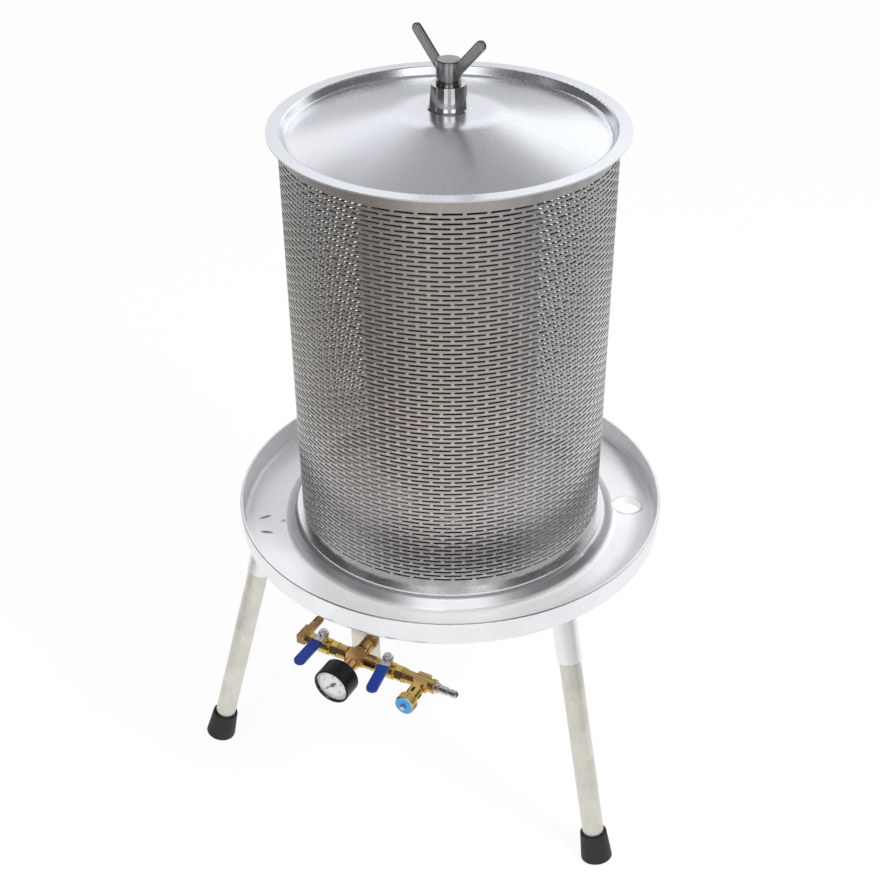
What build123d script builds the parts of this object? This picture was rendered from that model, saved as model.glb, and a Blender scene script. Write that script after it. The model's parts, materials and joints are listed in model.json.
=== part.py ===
from build123d import *
import os
from math import cos, pi, radians, sin, sqrt

# Bladder juice press in millimetres: drip tray on three legs, basket, lid with wing nut, brass manifold.
# The origin is on the floor under the press axis, +Z is up and the manifold's gauge faces -Y.

os.makedirs("parts", exist_ok=True)

# Fits shared by every piece
running_gap = 0.05
joint_gap = 0.05
seat_gap = 0.2
end_gap = 0.5

# Basket
basket_r = 211.6
basket_wall_t = 1.5
basket_height = 567.6
basket_slot_columns = 12
basket_slot_rows = 12
basket_slot_length = 78.0
basket_slot_height = 14.0
basket_slot_margin = 20.0
ring_width = 7.8
ring_t = 3.0

# Drip tray
rim_height = 438.0
tray_depth = 38.0
tray_sheet = 2.0
tray_corner = 6.0
channel_width = 64.4
hem_proud = 1.2
hem_height = 9.0
hem_round = 0.9
plinth_margin = 1.2
plinth_rise = 15.0
plinth_slope = 15.0
plinth_round = 12.0

# Juice spout
spout_r = 19.8
spout_wall = 1.5
spout_length = 10.0
spout_angle = 29.1
spout_place = 21.5

# Legs
leg_angles = {"left": -143.0, "right": -26.7, "rear": 95.2}
leg_place = 25.8
leg_splay = 14.8
leg_r = 15.0
leg_wall = 2.0
leg_inset = 10.0
socket_wall = 2.0
socket_length = 85.0
foot_top_r = 18.75
foot_bottom_r = 22.25
foot_height = 43.5
foot_sole = 8.0
foot_flat = 3.0
foot_edge = 1.5

# Lid
lid_sheet = 2.0
lid_overhang = 13.4
lid_spigot_gap = 0.8
lid_step_run = 5.0
lid_step_drop = 11.0
lid_groove_width = 5.0
lid_dome_rise = 21.0
lid_disc_r = 62.0
lid_step_round = 2.5
lid_dome_round = 100.0
hub_base_r = 24.8
hub_top_r = 22.0
hub_height = 31.4
hub_weld = 2.2
hub_bore_gap = 0.6

# Spindle, washer and wing nut
spindle_r = 10.0
washer_r = 16.0
washer_t = 4.0
nut_r = 15.5
nut_neck_r = 13.4
nut_neck_h = 3.4
nut_height = 25.2
nut_crown = 4.0
nut_edge = 1.2
spindle_end_gap = 0.8
wing_angle = -12.9
wing_tilt = 46.5
wing_length = 80.0
wing_width = 13.6
wing_t = 6.0
wing_edge = 1.5
wing_root_drop = 1.2

# Core tube, its flange and the bladder
core_r = 16.85
core_wall = 2.85
core_below_rim = 30.0
core_port_r = 4.0
core_ports = 3
core_port_pitch = 150.0
core_port_rise = 70.0
flange_r = 55.0
flange_t = 8.0
flange_collar_wall = 8.0
flange_collar_h = 27.0
gasket_r = 34.0
gasket_t = 3.0
base_nut_flats = 60.0
base_nut_t = 14.0
spindle_plug = 40.0
spindle_collar_t = 8.0
bladder_r = 118.0
bladder_wall_t = 4.0
bladder_neck = 22.0
bladder_shoulder = 56.0
bladder_round = 30.0
neck_round = 9.0
clamp_width = 12.0
clamp_t = 1.5
clamp_screw = 8.0

# Feed line under the tray
feed_pipe_r = 9.0
feed_bore_r = 6.0
feed_lap = 14.0
feed_elbow_wall = 4.0
feed_elbow_reach = 36.0
core_lap = 16.0
feed_elbow_floor = 10.0

# Manifold line and the thread shared by its fittings
manifold_z = 321.0
manifold_inset = 36.0
stub_r = 6.55
stub_length = 7.0
flow_r = 4.0
fitting_wall = 3.4
body_wall = 1.4
cross_reach = 28.5
cross_block = 13.0
groove_width = 1.6
groove_depth = 2.4

# Ball valves
valve_left = 20.5
valve_right = 24.0
valve_collar = 5.5
valve_hex_length = 10.0
valve_hex_flats = 19.0
neck_wall = 2.4
ball_r = 7.0
cavity_room = 0.25
seat_reach = 9.0
seat_from = 4.6
barrel_wall = 4.25
barrel_half = 11.0
boss_r = 6.5
boss_rise = 2.0
gland_flats = 12.0
gland_t = 3.5
stem_r = 3.0
tang_width = 4.0
tang_floor = 5.2
lever_gap = 0.6
lever_t = 2.5
lever_hub_r = 8.0
lever_width = 13.0
lever_length = 66.0
grip_length = 50.0
grip_width = 15.8
grip_t = 6.0
grip_round = 7.2
grip_corner = 2.0
grip_edge = 1.4
grip_end = 4.0
lever_nut_flats = 11.0
lever_nut_t = 5.4
stem_end = 1.0
drain_lever_angle = -90.0
supply_lever_angle = -80.0

# Drain elbow and its hose tail
elbow_reach = 13.5
elbow_width = 12.8
elbow_front = 8.0
elbow_rear = 18.0
elbow_edge = 0.9
elbow_arm_r = 7.9
elbow_inlet_r = 3.5
elbow_floor = 1.5
tail_stub_r = 4.4
tail_collar_r = 6.3
tail_collar_l = 11.0
tail_thread_r = 5.7
tail_thread_l = 14.0
tail_hose_r = 4.4
tail_hose_l = 32.0
tail_barb_r = 5.3
tail_barbs = 3
tail_bore_r = 2.8

# Tee and inlet plug
tee_reach_in = 29.0
tee_reach_out = 19.0
tee_block = 20.0
tee_height = 16.0
tee_arm_r = 9.0
tee_edge = 1.5
tee_collar = 4.0
plug_collar_r = 7.4
plug_collar_l = 6.0
plug_body_r = 5.5
plug_body_l = 13.0
plug_groove_r = 4.2
plug_groove_l = 4.0
plug_head_r = 5.2
plug_head_l = 10.0
plug_nose = 2.0
plug_bore_r = 3.0

# Rear nipple and hanging bracket
nipple_r = 7.0
nipple_length = 46.0
nipple_hex_flats = 19.0
nipple_hex_t = 7.0
nipple_shoulder_t = 2.5
bracket_back = 3.0
bracket_t = 3.0
bracket_left = 28.0
bracket_right = 16.0
bracket_drop = 28.0
bracket_weld = 14.4
bracket_round = 5.0
bracket_hole_gap = 0.1

# Relief valve
relief_hex_flats = 17.0
relief_hex_l = 7.0
relief_r = 9.8
relief_l = 18.0
relief_wall = 2.6
relief_front = 3.0
window_width = 4.2
window_margin = 1.5
relief_disc_t = 3.0
relief_stem_r = 2.0
relief_collar_r = 3.5
relief_collar_t = 1.2
relief_cap_gap = 0.3
relief_cap_r = 13.75
relief_cap_l = 13.0
relief_cap_edge = 1.0
badge_r = 12.5
badge_t = 1.4
button_r = 3.75
button_l = 5.0
spring_wire_r = 0.6
spring_turns = 4

# Pressure gauge
gauge_hex_flats = 16.0
gauge_hex_l = 10.0
gauge_spigot_r = 5.0
gauge_r = 26.0
gauge_depth = 27.5
gauge_wall = 1.5
gauge_back_t = 2.0
bezel_lip = 1.6
bezel_width = 2.5
bezel_round = 1.0
dial_depth = 20.5
dial_t = 0.8
lens_t = 2.0
pointer_gap = 0.5
pointer_t = 0.6
pointer_reach = 18.0
pointer_tail = 6.0
pointer_width = 1.6
pointer_rest = 225.0
pointer_hub_r = 2.6
pointer_hub_t = 1.6
pin_r = 1.2
movement_r = 4.0
bourdon_ring_r = 16.0
bourdon_tube_r = 2.2
bourdon_arc = 270.0
bourdon_block = 12.0
bourdon_from = 4.0

# Heights and radii that follow from the sizes above
tray_under_z = rim_height - tray_depth
channel_z = tray_under_z + tray_sheet
plinth_z = channel_z + plinth_rise
ring_r = basket_r + ring_width
plinth_r = ring_r + plinth_margin
plinth_foot_r = plinth_r + plinth_slope
tray_r = plinth_foot_r + channel_width
tray_wall_r = tray_r - hem_proud - tray_sheet
leg_top_r = plinth_foot_r + leg_place
foot_centre_z = foot_bottom_r * sin(radians(leg_splay)) - foot_flat
leg_reach = (tray_under_z - foot_centre_z) / cos(radians(leg_splay))
basket_z = plinth_z + seat_gap
basket_top = basket_z + basket_height
basket_bore_r = basket_r - basket_wall_t
flange_z = basket_top + seat_gap + lid_sheet
lid_groove_z = flange_z - lid_step_drop
disc_z = flange_z + lid_dome_rise
hub_top_z = disc_z + hub_height
hub_bore_r = spindle_r + hub_bore_gap
nut_z = hub_top_z + washer_t + seat_gap
nut_top = nut_z + nut_height
spindle_top = nut_top - nut_crown - spindle_end_gap
core_top = basket_top - core_below_rim
core_bore_r = core_r - core_wall
core_hole_r = core_r + joint_gap
collar_r = core_hole_r + flange_collar_wall
flange_top = plinth_z + flange_t
manifold_y = manifold_inset - tray_r
elbow_core_z = manifold_z + feed_elbow_floor
socket_bore_r = stub_r + joint_gap
fitting_r = socket_bore_r + fitting_wall
body_half = socket_bore_r + body_wall
drain_x = -cross_reach - valve_right
elbow_face_x = drain_x - valve_left
elbow_x = elbow_face_x - elbow_reach
supply_x = cross_reach + valve_left
tee_face_x = supply_x + valve_right
tee_x = tee_face_x + tee_reach_in
plug_x = tee_x + tee_reach_out
cross_rear_y = manifold_y + cross_reach
nipple_end_y = cross_rear_y + nipple_length
plate_y = cross_rear_y + bracket_back
gauge_back_y = manifold_y - cross_reach - gauge_hex_l


def keep(piece, label):
    """Name a finished piece and write it."""
    piece.part.label = label
    export_step(piece.part, f"parts/{label}.step")


def rod_x(x_from, x_to, radius, mode=Mode.ADD):
    """Round bar along the manifold line."""
    with Locations(((x_from + x_to) / 2, manifold_y, manifold_z)):
        Cylinder(radius, abs(x_to - x_from), rotation=(0, 90, 0), mode=mode)


def rod_y(x, y_from, y_to, radius, mode=Mode.ADD):
    """Round bar at manifold height, square to the manifold line."""
    with Locations((x, (y_from + y_to) / 2, manifold_z)):
        Cylinder(radius, abs(y_to - y_from), rotation=(90, 0, 0), mode=mode)


def rod_z(x, y, z_from, z_to, radius, mode=Mode.ADD):
    """Upright round bar."""
    with Locations((x, y, (z_from + z_to) / 2)):
        Cylinder(radius, abs(z_to - z_from), mode=mode)


def across(x):
    """Plane square to the manifold line that faces +X."""
    return Plane(origin=(x, manifold_y, manifold_z), x_dir=(0, 1, 0), z_dir=(1, 0, 0))


def facing(x, y):
    """Upright plane at manifold height that faces the front."""
    return Plane(origin=(x, y, manifold_z), x_dir=(1, 0, 0), z_dir=(0, -1, 0))


def heading(angle):
    """Level unit vector at an angle from +X."""
    return (cos(radians(angle)), sin(radians(angle)), 0)


# Drip tray: plinth, channel, wall and a hem round the rim
with BuildPart() as drip_tray:
    with BuildSketch(Plane.XZ):
        with BuildLine():
            FilletPolyline(
                (core_hole_r, plinth_z),
                (plinth_r, plinth_z),
                (plinth_foot_r, channel_z),
                (tray_wall_r, channel_z),
                (tray_wall_r, rim_height),
                radius=[plinth_round, plinth_round, tray_corner],
            )
            offset(amount=tray_sheet, side=Side.RIGHT)
        make_face()
    revolve(axis=Axis.Z)
    with BuildSketch(Plane.XZ):
        with Locations(((tray_wall_r + tray_r) / 2, rim_height - hem_height / 2)):
            RectangleRounded(tray_r - tray_wall_r, hem_height, hem_round)
    revolve(axis=Axis.Z)
    with PolarLocations(plinth_foot_r + spout_place, 1, start_angle=spout_angle):
        with Locations((0, 0, tray_under_z)):
            Cylinder(spout_r, 2 * (tray_sheet + plinth_rise), mode=Mode.SUBTRACT)
keep(drip_tray, "drip_tray")

# Juice spout: the collar welded under the outlet hole
with BuildPart() as juice_spout:
    with PolarLocations(plinth_foot_r + spout_place, 1, start_angle=spout_angle):
        with Locations((0, 0, tray_under_z - spout_length / 2)):
            Cylinder(spout_r + spout_wall, spout_length)
            Cylinder(spout_r, spout_length, mode=Mode.SUBTRACT)
keep(juice_spout, "juice_spout")


def leg_plane(angle, distance):
    """Plane square to a leg's axis, facing down, a distance along it from the tray's underside."""
    out_x, out_y, level = heading(angle)
    down = (out_x * sin(radians(leg_splay)), out_y * sin(radians(leg_splay)), -cos(radians(leg_splay)))
    top = (out_x * leg_top_r, out_y * leg_top_r, tray_under_z)
    return Plane(origin=top, x_dir=(-out_y, out_x, level), z_dir=down).offset(distance)


def leg_set(side, angle):
    """Socket under the tray, leg tube and rubber foot on one splayed axis."""
    with BuildPart() as socket:
        with BuildSketch(leg_plane(angle, -socket_length / 2)):
            Circle(leg_r + joint_gap + socket_wall)
            Circle(leg_r + joint_gap, mode=Mode.SUBTRACT)
        extrude(amount=socket_length * 1.5)
        split(bisect_by=Plane.XY.offset(tray_under_z), keep=Keep.BOTTOM)
    keep(socket, f"leg_socket_{side}")

    with BuildPart() as tube:
        with BuildSketch(leg_plane(angle, leg_inset)):
            Circle(leg_r)
            Circle(leg_r - leg_wall, mode=Mode.SUBTRACT)
        extrude(amount=leg_reach - foot_sole - leg_inset)
    keep(tube, f"leg_{side}")

    with BuildPart() as foot:
        with BuildSketch(leg_plane(angle, leg_reach - foot_height)):
            Circle(foot_top_r)
        with BuildSketch(leg_plane(angle, leg_reach)):
            Circle(foot_bottom_r)
        loft()
        fillet(foot.edges().filter_by(GeomType.CIRCLE), radius=foot_edge)
        with BuildSketch(leg_plane(angle, leg_reach - foot_height)):
            Circle(leg_r + joint_gap)
        extrude(amount=foot_height - foot_sole, mode=Mode.SUBTRACT)
        split(bisect_by=Plane.XY, keep=Keep.TOP)
    keep(foot, f"leg_foot_{side}")


for leg_side, leg_angle in leg_angles.items():
    leg_set(leg_side, leg_angle)

# Basket wall with a coarse grid of staggered slots, and the ring round its foot
slot_row_pitch = (basket_height - 2 * basket_slot_margin) / basket_slot_rows
with BuildPart() as basket_wall:
    rod_z(0, 0, basket_z, basket_top, basket_r)
    rod_z(0, 0, basket_z, basket_top, basket_bore_r, mode=Mode.SUBTRACT)
    for slot_row in range(basket_slot_rows):
        slot_z = basket_z + basket_slot_margin + (slot_row + 0.5) * slot_row_pitch
        stagger = 180 / basket_slot_columns * (slot_row % 2)
        with Locations((0, 0, slot_z)):
            with PolarLocations(basket_r, basket_slot_columns, start_angle=stagger):
                Box(basket_r / 4, basket_slot_length, basket_slot_height, mode=Mode.SUBTRACT)
keep(basket_wall, "basket_wall")

with BuildPart() as basket_base_ring:
    rod_z(0, 0, basket_z, basket_z + ring_t, ring_r)
    rod_z(0, 0, basket_z, basket_z + ring_t, basket_r, mode=Mode.SUBTRACT)
keep(basket_base_ring, "basket_base_ring")

# Lid pan: disc, cone, groove, step into the basket and flange on its top edge
lid_r = basket_r + lid_overhang
step_top_r = basket_bore_r - lid_spigot_gap - lid_sheet
step_foot_r = step_top_r - lid_step_run
with BuildPart() as lid_pan:
    with BuildSketch(Plane.XZ):
        with BuildLine():
            FilletPolyline(
                (hub_bore_r, disc_z),
                (lid_disc_r, disc_z),
                (step_foot_r - lid_groove_width, lid_groove_z),
                (step_foot_r, lid_groove_z),
                (step_top_r, flange_z),
                (lid_r, flange_z),
                radius=[lid_dome_round, lid_step_round, lid_step_round, lid_step_round],
            )
            offset(amount=lid_sheet, side=Side.RIGHT)
        make_face()
    revolve(axis=Axis.Z)
keep(lid_pan, "lid_pan")

# Lid hub: cone with its weld bead
with BuildPart() as lid_hub:
    with BuildSketch(Plane.XZ):
        with BuildLine():
            Polyline(
                (hub_bore_r, disc_z),
                (hub_base_r + hub_weld, disc_z),
                (hub_base_r, disc_z + hub_weld),
                (hub_top_r, hub_top_z),
                (hub_bore_r, hub_top_z),
                close=True,
            )
        make_face()
    revolve(axis=Axis.Z)
keep(lid_hub, "lid_hub")

with BuildPart() as lid_washer:
    rod_z(0, 0, hub_top_z, hub_top_z + washer_t, washer_r)
    rod_z(0, 0, hub_top_z, hub_top_z + washer_t, hub_bore_r, mode=Mode.SUBTRACT)
    chamfer(lid_washer.edges().filter_by(GeomType.CIRCLE).sort_by(SortBy.RADIUS)[-2:], washer_t / 5)
keep(lid_washer, "lid_washer")

# Wing nut: two flat wings through a round body with a blind thread
wing_plane = Plane(
    origin=(0, 0, nut_z - wing_root_drop),
    x_dir=heading(wing_angle),
    z_dir=heading(wing_angle - 90),
)
with BuildPart() as wing_nut:
    for wing_side in (1, -1):
        with BuildSketch(wing_plane):
            wing_run = wing_length / 2 * cos(radians(wing_tilt))
            wing_climb = wing_length / 2 * sin(radians(wing_tilt))
            with Locations((wing_side * wing_run, wing_climb)):
                SlotOverall(wing_length, wing_width, rotation=wing_side * wing_tilt)
        extrude(amount=wing_t / 2, both=True)
    split(bisect_by=Plane.XY.offset(nut_z + nut_neck_h), keep=Keep.TOP)
    fillet(wing_nut.edges().filter_by(GeomType.CIRCLE), radius=wing_edge)
    with BuildSketch(Plane.XZ):
        with BuildLine():
            Polyline(
                (0, nut_z),
                (nut_neck_r, nut_z),
                (nut_neck_r, nut_z + nut_neck_h),
                (nut_r, nut_z + nut_neck_h),
                (nut_r, nut_top - nut_edge),
                (nut_r - nut_edge, nut_top),
                (0, nut_top),
                close=True,
            )
        make_face()
    revolve(axis=Axis.Z)
    rod_z(0, 0, nut_z, nut_top - nut_crown, spindle_r + running_gap, mode=Mode.SUBTRACT)
keep(wing_nut, "wing_nut")

# Base flange, gasket and nut that hold the core tube in the tray
with BuildPart() as base_flange:
    rod_z(0, 0, plinth_z, flange_top, flange_r)
    rod_z(0, 0, flange_top, flange_top + flange_collar_h, collar_r)
    rod_z(0, 0, plinth_z, flange_top + flange_collar_h, core_hole_r, mode=Mode.SUBTRACT)
keep(base_flange, "base_flange")

gasket_z = plinth_z - tray_sheet - gasket_t
with BuildPart() as base_gasket:
    rod_z(0, 0, gasket_z, gasket_z + gasket_t, gasket_r)
    rod_z(0, 0, gasket_z, gasket_z + gasket_t, core_hole_r, mode=Mode.SUBTRACT)
keep(base_gasket, "base_gasket")

with BuildPart() as base_nut:
    with BuildSketch(Plane.XY.offset(gasket_z - base_nut_t)):
        RegularPolygon(base_nut_flats / 2, 6, major_radius=False)
        Circle(core_hole_r, mode=Mode.SUBTRACT)
    extrude(amount=base_nut_t)
keep(base_nut, "base_nut")

# Core tube with its water ports
with BuildPart() as core_tube:
    rod_z(0, 0, elbow_core_z, core_top, core_r)
    rod_z(0, 0, elbow_core_z, core_top, core_bore_r, mode=Mode.SUBTRACT)
    for port in range(core_ports):
        port_height = flange_top + flange_collar_h + core_port_rise + port * core_port_pitch
        for port_turn in ((90, 0, 0), (0, 90, 0)):
            with Locations((0, 0, port_height)):
                Cylinder(core_port_r, 3 * core_r, rotation=port_turn, mode=Mode.SUBTRACT)
keep(core_tube, "core_tube")

# Spindle: plug in the core tube, collar on its end and the stud for the wing nut
with BuildPart() as spindle:
    rod_z(0, 0, core_top - spindle_plug, core_top, core_bore_r - joint_gap)
    rod_z(0, 0, core_top, core_top + spindle_collar_t, core_r)
    rod_z(0, 0, core_top + spindle_collar_t, spindle_top, spindle_r)
    chamfer(spindle.faces().sort_by(Axis.Z)[-1].edges(), spindle_r / 8)
keep(spindle, "spindle")

# Bladder: rubber sleeve that necks down on the flange collar and on the core tube
low_neck_r = collar_r + joint_gap
high_neck_r = core_r + joint_gap
low_neck_z = flange_top + flange_collar_h - bladder_neck
high_neck_z = core_top - bladder_neck
with BuildPart() as bladder:
    with BuildSketch(Plane.XZ):
        with BuildLine():
            FilletPolyline(
                (low_neck_r, low_neck_z),
                (low_neck_r, low_neck_z + bladder_neck),
                (bladder_r - bladder_wall_t, low_neck_z + bladder_neck + bladder_shoulder),
                (bladder_r - bladder_wall_t, high_neck_z - bladder_shoulder),
                (high_neck_r, high_neck_z),
                (high_neck_r, high_neck_z + bladder_neck),
                radius=[neck_round, bladder_round, bladder_round, neck_round],
            )
            offset(amount=bladder_wall_t, side=Side.RIGHT)
        make_face()
    revolve(axis=Axis.Z)
keep(bladder, "bladder")

# Clamp bands with their screw housings, one on each bladder neck
low_clamp = (low_neck_r + bladder_wall_t + joint_gap, low_neck_z + (bladder_neck - clamp_width) / 4)
high_clamp = (high_neck_r + bladder_wall_t + joint_gap, high_neck_z + (bladder_neck - clamp_width) * 3 / 4)
with BuildPart() as bladder_clamps:
    for band_r, band_z in (low_clamp, high_clamp):
        rod_z(0, 0, band_z, band_z + clamp_width, band_r + clamp_t)
        with Locations((band_r + clamp_screw / 2, 0, band_z + clamp_width / 2)):
            Box(clamp_screw, 2 * clamp_screw, clamp_screw)
        rod_z(0, 0, band_z, band_z + clamp_width, band_r, mode=Mode.SUBTRACT)
keep(bladder_clamps, "bladder_clamps")

# Feed elbow under the core tube and the pipe from the manifold
elbow_top_z = elbow_core_z + core_lap
elbow_bottom_z = manifold_z - feed_pipe_r - joint_gap - feed_elbow_wall
with BuildPart() as feed_elbow:
    rod_z(0, 0, elbow_bottom_z, elbow_top_z, core_hole_r + feed_elbow_wall)
    rod_y(0, -feed_elbow_reach, 0, feed_pipe_r + joint_gap + feed_elbow_wall)
    rod_z(0, 0, elbow_core_z, elbow_top_z, core_hole_r, mode=Mode.SUBTRACT)
    rod_z(0, 0, manifold_z, elbow_core_z, feed_bore_r, mode=Mode.SUBTRACT)
    rod_y(0, -feed_elbow_reach, 0, feed_bore_r, mode=Mode.SUBTRACT)
    rod_y(0, -feed_elbow_reach, feed_lap - feed_elbow_reach, feed_pipe_r + joint_gap, mode=Mode.SUBTRACT)
keep(feed_elbow, "feed_elbow")

pipe_front_y = nipple_end_y - feed_lap
pipe_rear_y = feed_lap - feed_elbow_reach
with BuildPart() as feed_pipe:
    rod_y(0, pipe_front_y, pipe_rear_y, feed_pipe_r)
    rod_y(0, pipe_front_y, pipe_rear_y, feed_bore_r, mode=Mode.SUBTRACT)
    rod_y(0, pipe_front_y, nipple_end_y, nipple_r + joint_gap, mode=Mode.SUBTRACT)
keep(feed_pipe, "feed_pipe")

# Cross: square body with four round arms, each with a groove and a thread socket
socket_depth = stub_length + end_gap
with BuildPart() as cross_fitting:
    with Locations((0, manifold_y, manifold_z)):
        Box(2 * cross_block, 2 * body_half, 2 * body_half)
        Box(2 * body_half, 2 * cross_block, 2 * body_half)
    for side in (1, -1):
        arm_x = side * cross_reach
        arm_y = manifold_y + side * cross_reach
        collar_from = side * (cross_block + groove_width)
        rod_x(0, arm_x, fitting_r - groove_depth)
        rod_x(collar_from, arm_x, fitting_r)
        rod_y(0, manifold_y, arm_y, fitting_r - groove_depth)
        rod_y(0, manifold_y + collar_from, arm_y, fitting_r)
    for side in (1, -1):
        arm_x = side * cross_reach
        arm_y = manifold_y + side * cross_reach
        rod_x(arm_x - side * socket_depth, arm_x, socket_bore_r, mode=Mode.SUBTRACT)
        rod_y(0, arm_y - side * socket_depth, arm_y, socket_bore_r, mode=Mode.SUBTRACT)
    rod_x(-cross_reach, cross_reach, flow_r, mode=Mode.SUBTRACT)
    rod_y(0, manifold_y - cross_reach, manifold_y + cross_reach, flow_r, mode=Mode.SUBTRACT)
keep(cross_fitting, "cross_fitting")

# Rear nipple with its shoulder before the bracket plate and a lock nut behind it
with BuildPart() as rear_nipple:
    rod_y(0, cross_rear_y - stub_length, cross_rear_y, stub_r)
    rod_y(0, cross_rear_y, nipple_end_y, nipple_r)
    with BuildSketch(facing(0, plate_y)):
        RegularPolygon(nipple_hex_flats / 2, 6, major_radius=False)
    extrude(amount=nipple_shoulder_t)
    with BuildSketch(facing(0, plate_y + bracket_t + nipple_hex_t)):
        RegularPolygon(nipple_hex_flats / 2, 6, major_radius=False)
        Circle(nipple_r + joint_gap, mode=Mode.SUBTRACT)
    extrude(amount=nipple_hex_t)
    rod_y(0, cross_rear_y - stub_length, nipple_end_y, flow_r, mode=Mode.SUBTRACT)
keep(rear_nipple, "rear_nipple")

# Hanging bracket: upright plate behind the cross with a flange welded under the tray
bracket_width = bracket_left + bracket_right
bracket_mid_x = (bracket_right - bracket_left) / 2
bracket_front_y = -plinth_foot_r - bracket_weld
with BuildPart() as manifold_bracket:
    with BuildSketch(Plane.YZ.offset(-bracket_left)):
        with BuildLine():
            FilletPolyline(
                (bracket_front_y, tray_under_z),
                (plate_y + bracket_t, tray_under_z),
                (plate_y + bracket_t, manifold_z - bracket_drop),
                radius=[bracket_round],
            )
            offset(amount=bracket_t, side=Side.RIGHT)
        make_face()
    extrude(amount=bracket_width)
    hole_r = nipple_r + bracket_hole_gap
    rod_y(0, plate_y - bracket_t, plate_y + 2 * bracket_t, hole_r, mode=Mode.SUBTRACT)
keep(manifold_bracket, "manifold_bracket")


def ball_valve(prefix, stem_x, lever_angle):
    """Ball valve on the manifold line with its lever turned to an angle."""
    stub_from = stem_x - valve_left - stub_length
    stub_to = stem_x + valve_right + stub_length
    boss_top = manifold_z + ball_r + cavity_room + barrel_wall + boss_rise
    gland_top = boss_top + gland_t
    lever_z = gland_top + lever_gap
    nut_low_z = lever_z + lever_t
    lever_plane = Plane(
        origin=(stem_x, manifold_y, lever_z), x_dir=heading(lever_angle), z_dir=(0, 0, 1)
    )
    ball_plane = Plane(
        origin=(stem_x, manifold_y, manifold_z), x_dir=(0, 0, 1), z_dir=heading(lever_angle)
    )

    with BuildPart() as body:
        rod_x(stub_from, stub_to, stub_r)
        rod_x(stem_x - valve_left, stem_x + valve_right, stub_r + neck_wall)
        rod_x(stem_x - valve_left, stem_x - valve_left + valve_collar, fitting_r)
        rod_x(stem_x - barrel_half, stem_x + barrel_half, ball_r + cavity_room + barrel_wall)
        with BuildSketch(across(stem_x + valve_right - valve_hex_length)):
            RegularPolygon(valve_hex_flats / 2, 6, major_radius=False)
        extrude(amount=valve_hex_length)
        rod_z(stem_x, manifold_y, manifold_z, boss_top, boss_r)
        rod_x(stub_from, stub_to, flow_r, mode=Mode.SUBTRACT)
        rod_x(stem_x - seat_reach, stem_x + seat_reach, ball_r + cavity_room, mode=Mode.SUBTRACT)
        rod_z(stem_x, manifold_y, manifold_z, boss_top, stem_r + running_gap, mode=Mode.SUBTRACT)
    keep(body, f"{prefix}_valve_body")

    with BuildPart() as seats:
        cup_r = ball_r + running_gap
        rim_r = ball_r + cavity_room - joint_gap
        cup_from = (seat_from, sqrt(cup_r**2 - seat_from**2))
        cup_to = (sqrt(cup_r**2 - flow_r**2), flow_r)
        for side in (1, -1):
            centre = (stem_x, manifold_y, manifold_z)
            with BuildSketch(Plane(origin=centre, x_dir=(side, 0, 0), z_dir=(0, -side, 0))):
                with BuildLine():
                    RadiusArc(cup_from, cup_to, cup_r)
                    Polyline(cup_to, (seat_reach, flow_r), (seat_reach, rim_r), (seat_from, rim_r), cup_from)
                make_face()
            revolve(axis=Axis(centre, (1, 0, 0)))
    keep(seats, f"{prefix}_valve_seats")

    with BuildPart() as ball:
        with Locations((stem_x, manifold_y, manifold_z)):
            Sphere(ball_r)
        with BuildSketch(ball_plane):
            Circle(flow_r)
        extrude(amount=2 * ball_r, both=True, mode=Mode.SUBTRACT)
        with Locations((stem_x, manifold_y, manifold_z + tang_floor + ball_r / 2)):
            tang_room = tang_width + 2 * joint_gap
            Box(tang_room, tang_room, ball_r, rotation=(0, 0, lever_angle), mode=Mode.SUBTRACT)
    keep(ball, f"{prefix}_valve_ball")

    with BuildPart() as stem:
        stem_low_z = manifold_z + ball_r + joint_gap
        tang_z = manifold_z + tang_floor + joint_gap
        rod_z(stem_x, manifold_y, stem_low_z, nut_low_z + lever_nut_t + stem_end, stem_r)
        with Locations((stem_x, manifold_y, (tang_z + stem_low_z) / 2)):
            Box(tang_width, tang_width, stem_low_z - tang_z, rotation=(0, 0, lever_angle))
    keep(stem, f"{prefix}_valve_stem")

    with BuildPart() as gland:
        with BuildSketch(Plane.XY.offset(boss_top)):
            with Locations((stem_x, manifold_y)):
                RegularPolygon(gland_flats / 2, 6, major_radius=False)
                Circle(stem_r + running_gap, mode=Mode.SUBTRACT)
        extrude(amount=gland_t)
    keep(gland, f"{prefix}_valve_gland")

    with BuildPart() as lever:
        with BuildSketch(lever_plane):
            Circle(lever_hub_r)
            with Locations(((lever_length - grip_end) / 2, 0)):
                Rectangle(lever_length - grip_end, lever_width)
            Circle(stem_r + joint_gap, mode=Mode.SUBTRACT)
        extrude(amount=lever_t)
    keep(lever, f"{prefix}_valve_lever")

    with BuildPart() as grip:
        with BuildSketch(lever_plane.offset((lever_t - grip_t) / 2)):
            with Locations((lever_length - grip_length / 2, 0)):
                outline = Rectangle(grip_length, grip_width)
            fillet(outline.vertices().sort_by(Axis.X)[-2:], radius=grip_round)
            fillet(outline.vertices().sort_by(Axis.X)[:2], radius=grip_corner)
        extrude(amount=grip_t)
        fillet(grip.faces().filter_by(Axis.Z).edges(), radius=grip_edge)
        with BuildSketch(lever_plane.offset(-joint_gap)):
            with Locations(((lever_length - grip_end + joint_gap) / 2, 0)):
                Rectangle(lever_length - grip_end + joint_gap, lever_width + 2 * joint_gap)
        extrude(amount=lever_t + 2 * joint_gap, mode=Mode.SUBTRACT)
    keep(grip, f"{prefix}_valve_grip")

    with BuildPart() as lever_nut:
        with BuildSketch(Plane.XY.offset(nut_low_z)):
            with Locations((stem_x, manifold_y)):
                RegularPolygon(lever_nut_flats / 2, 6, major_radius=False)
                Circle(stem_r + joint_gap, mode=Mode.SUBTRACT)
        extrude(amount=lever_nut_t)
    keep(lever_nut, f"{prefix}_valve_nut")


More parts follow.
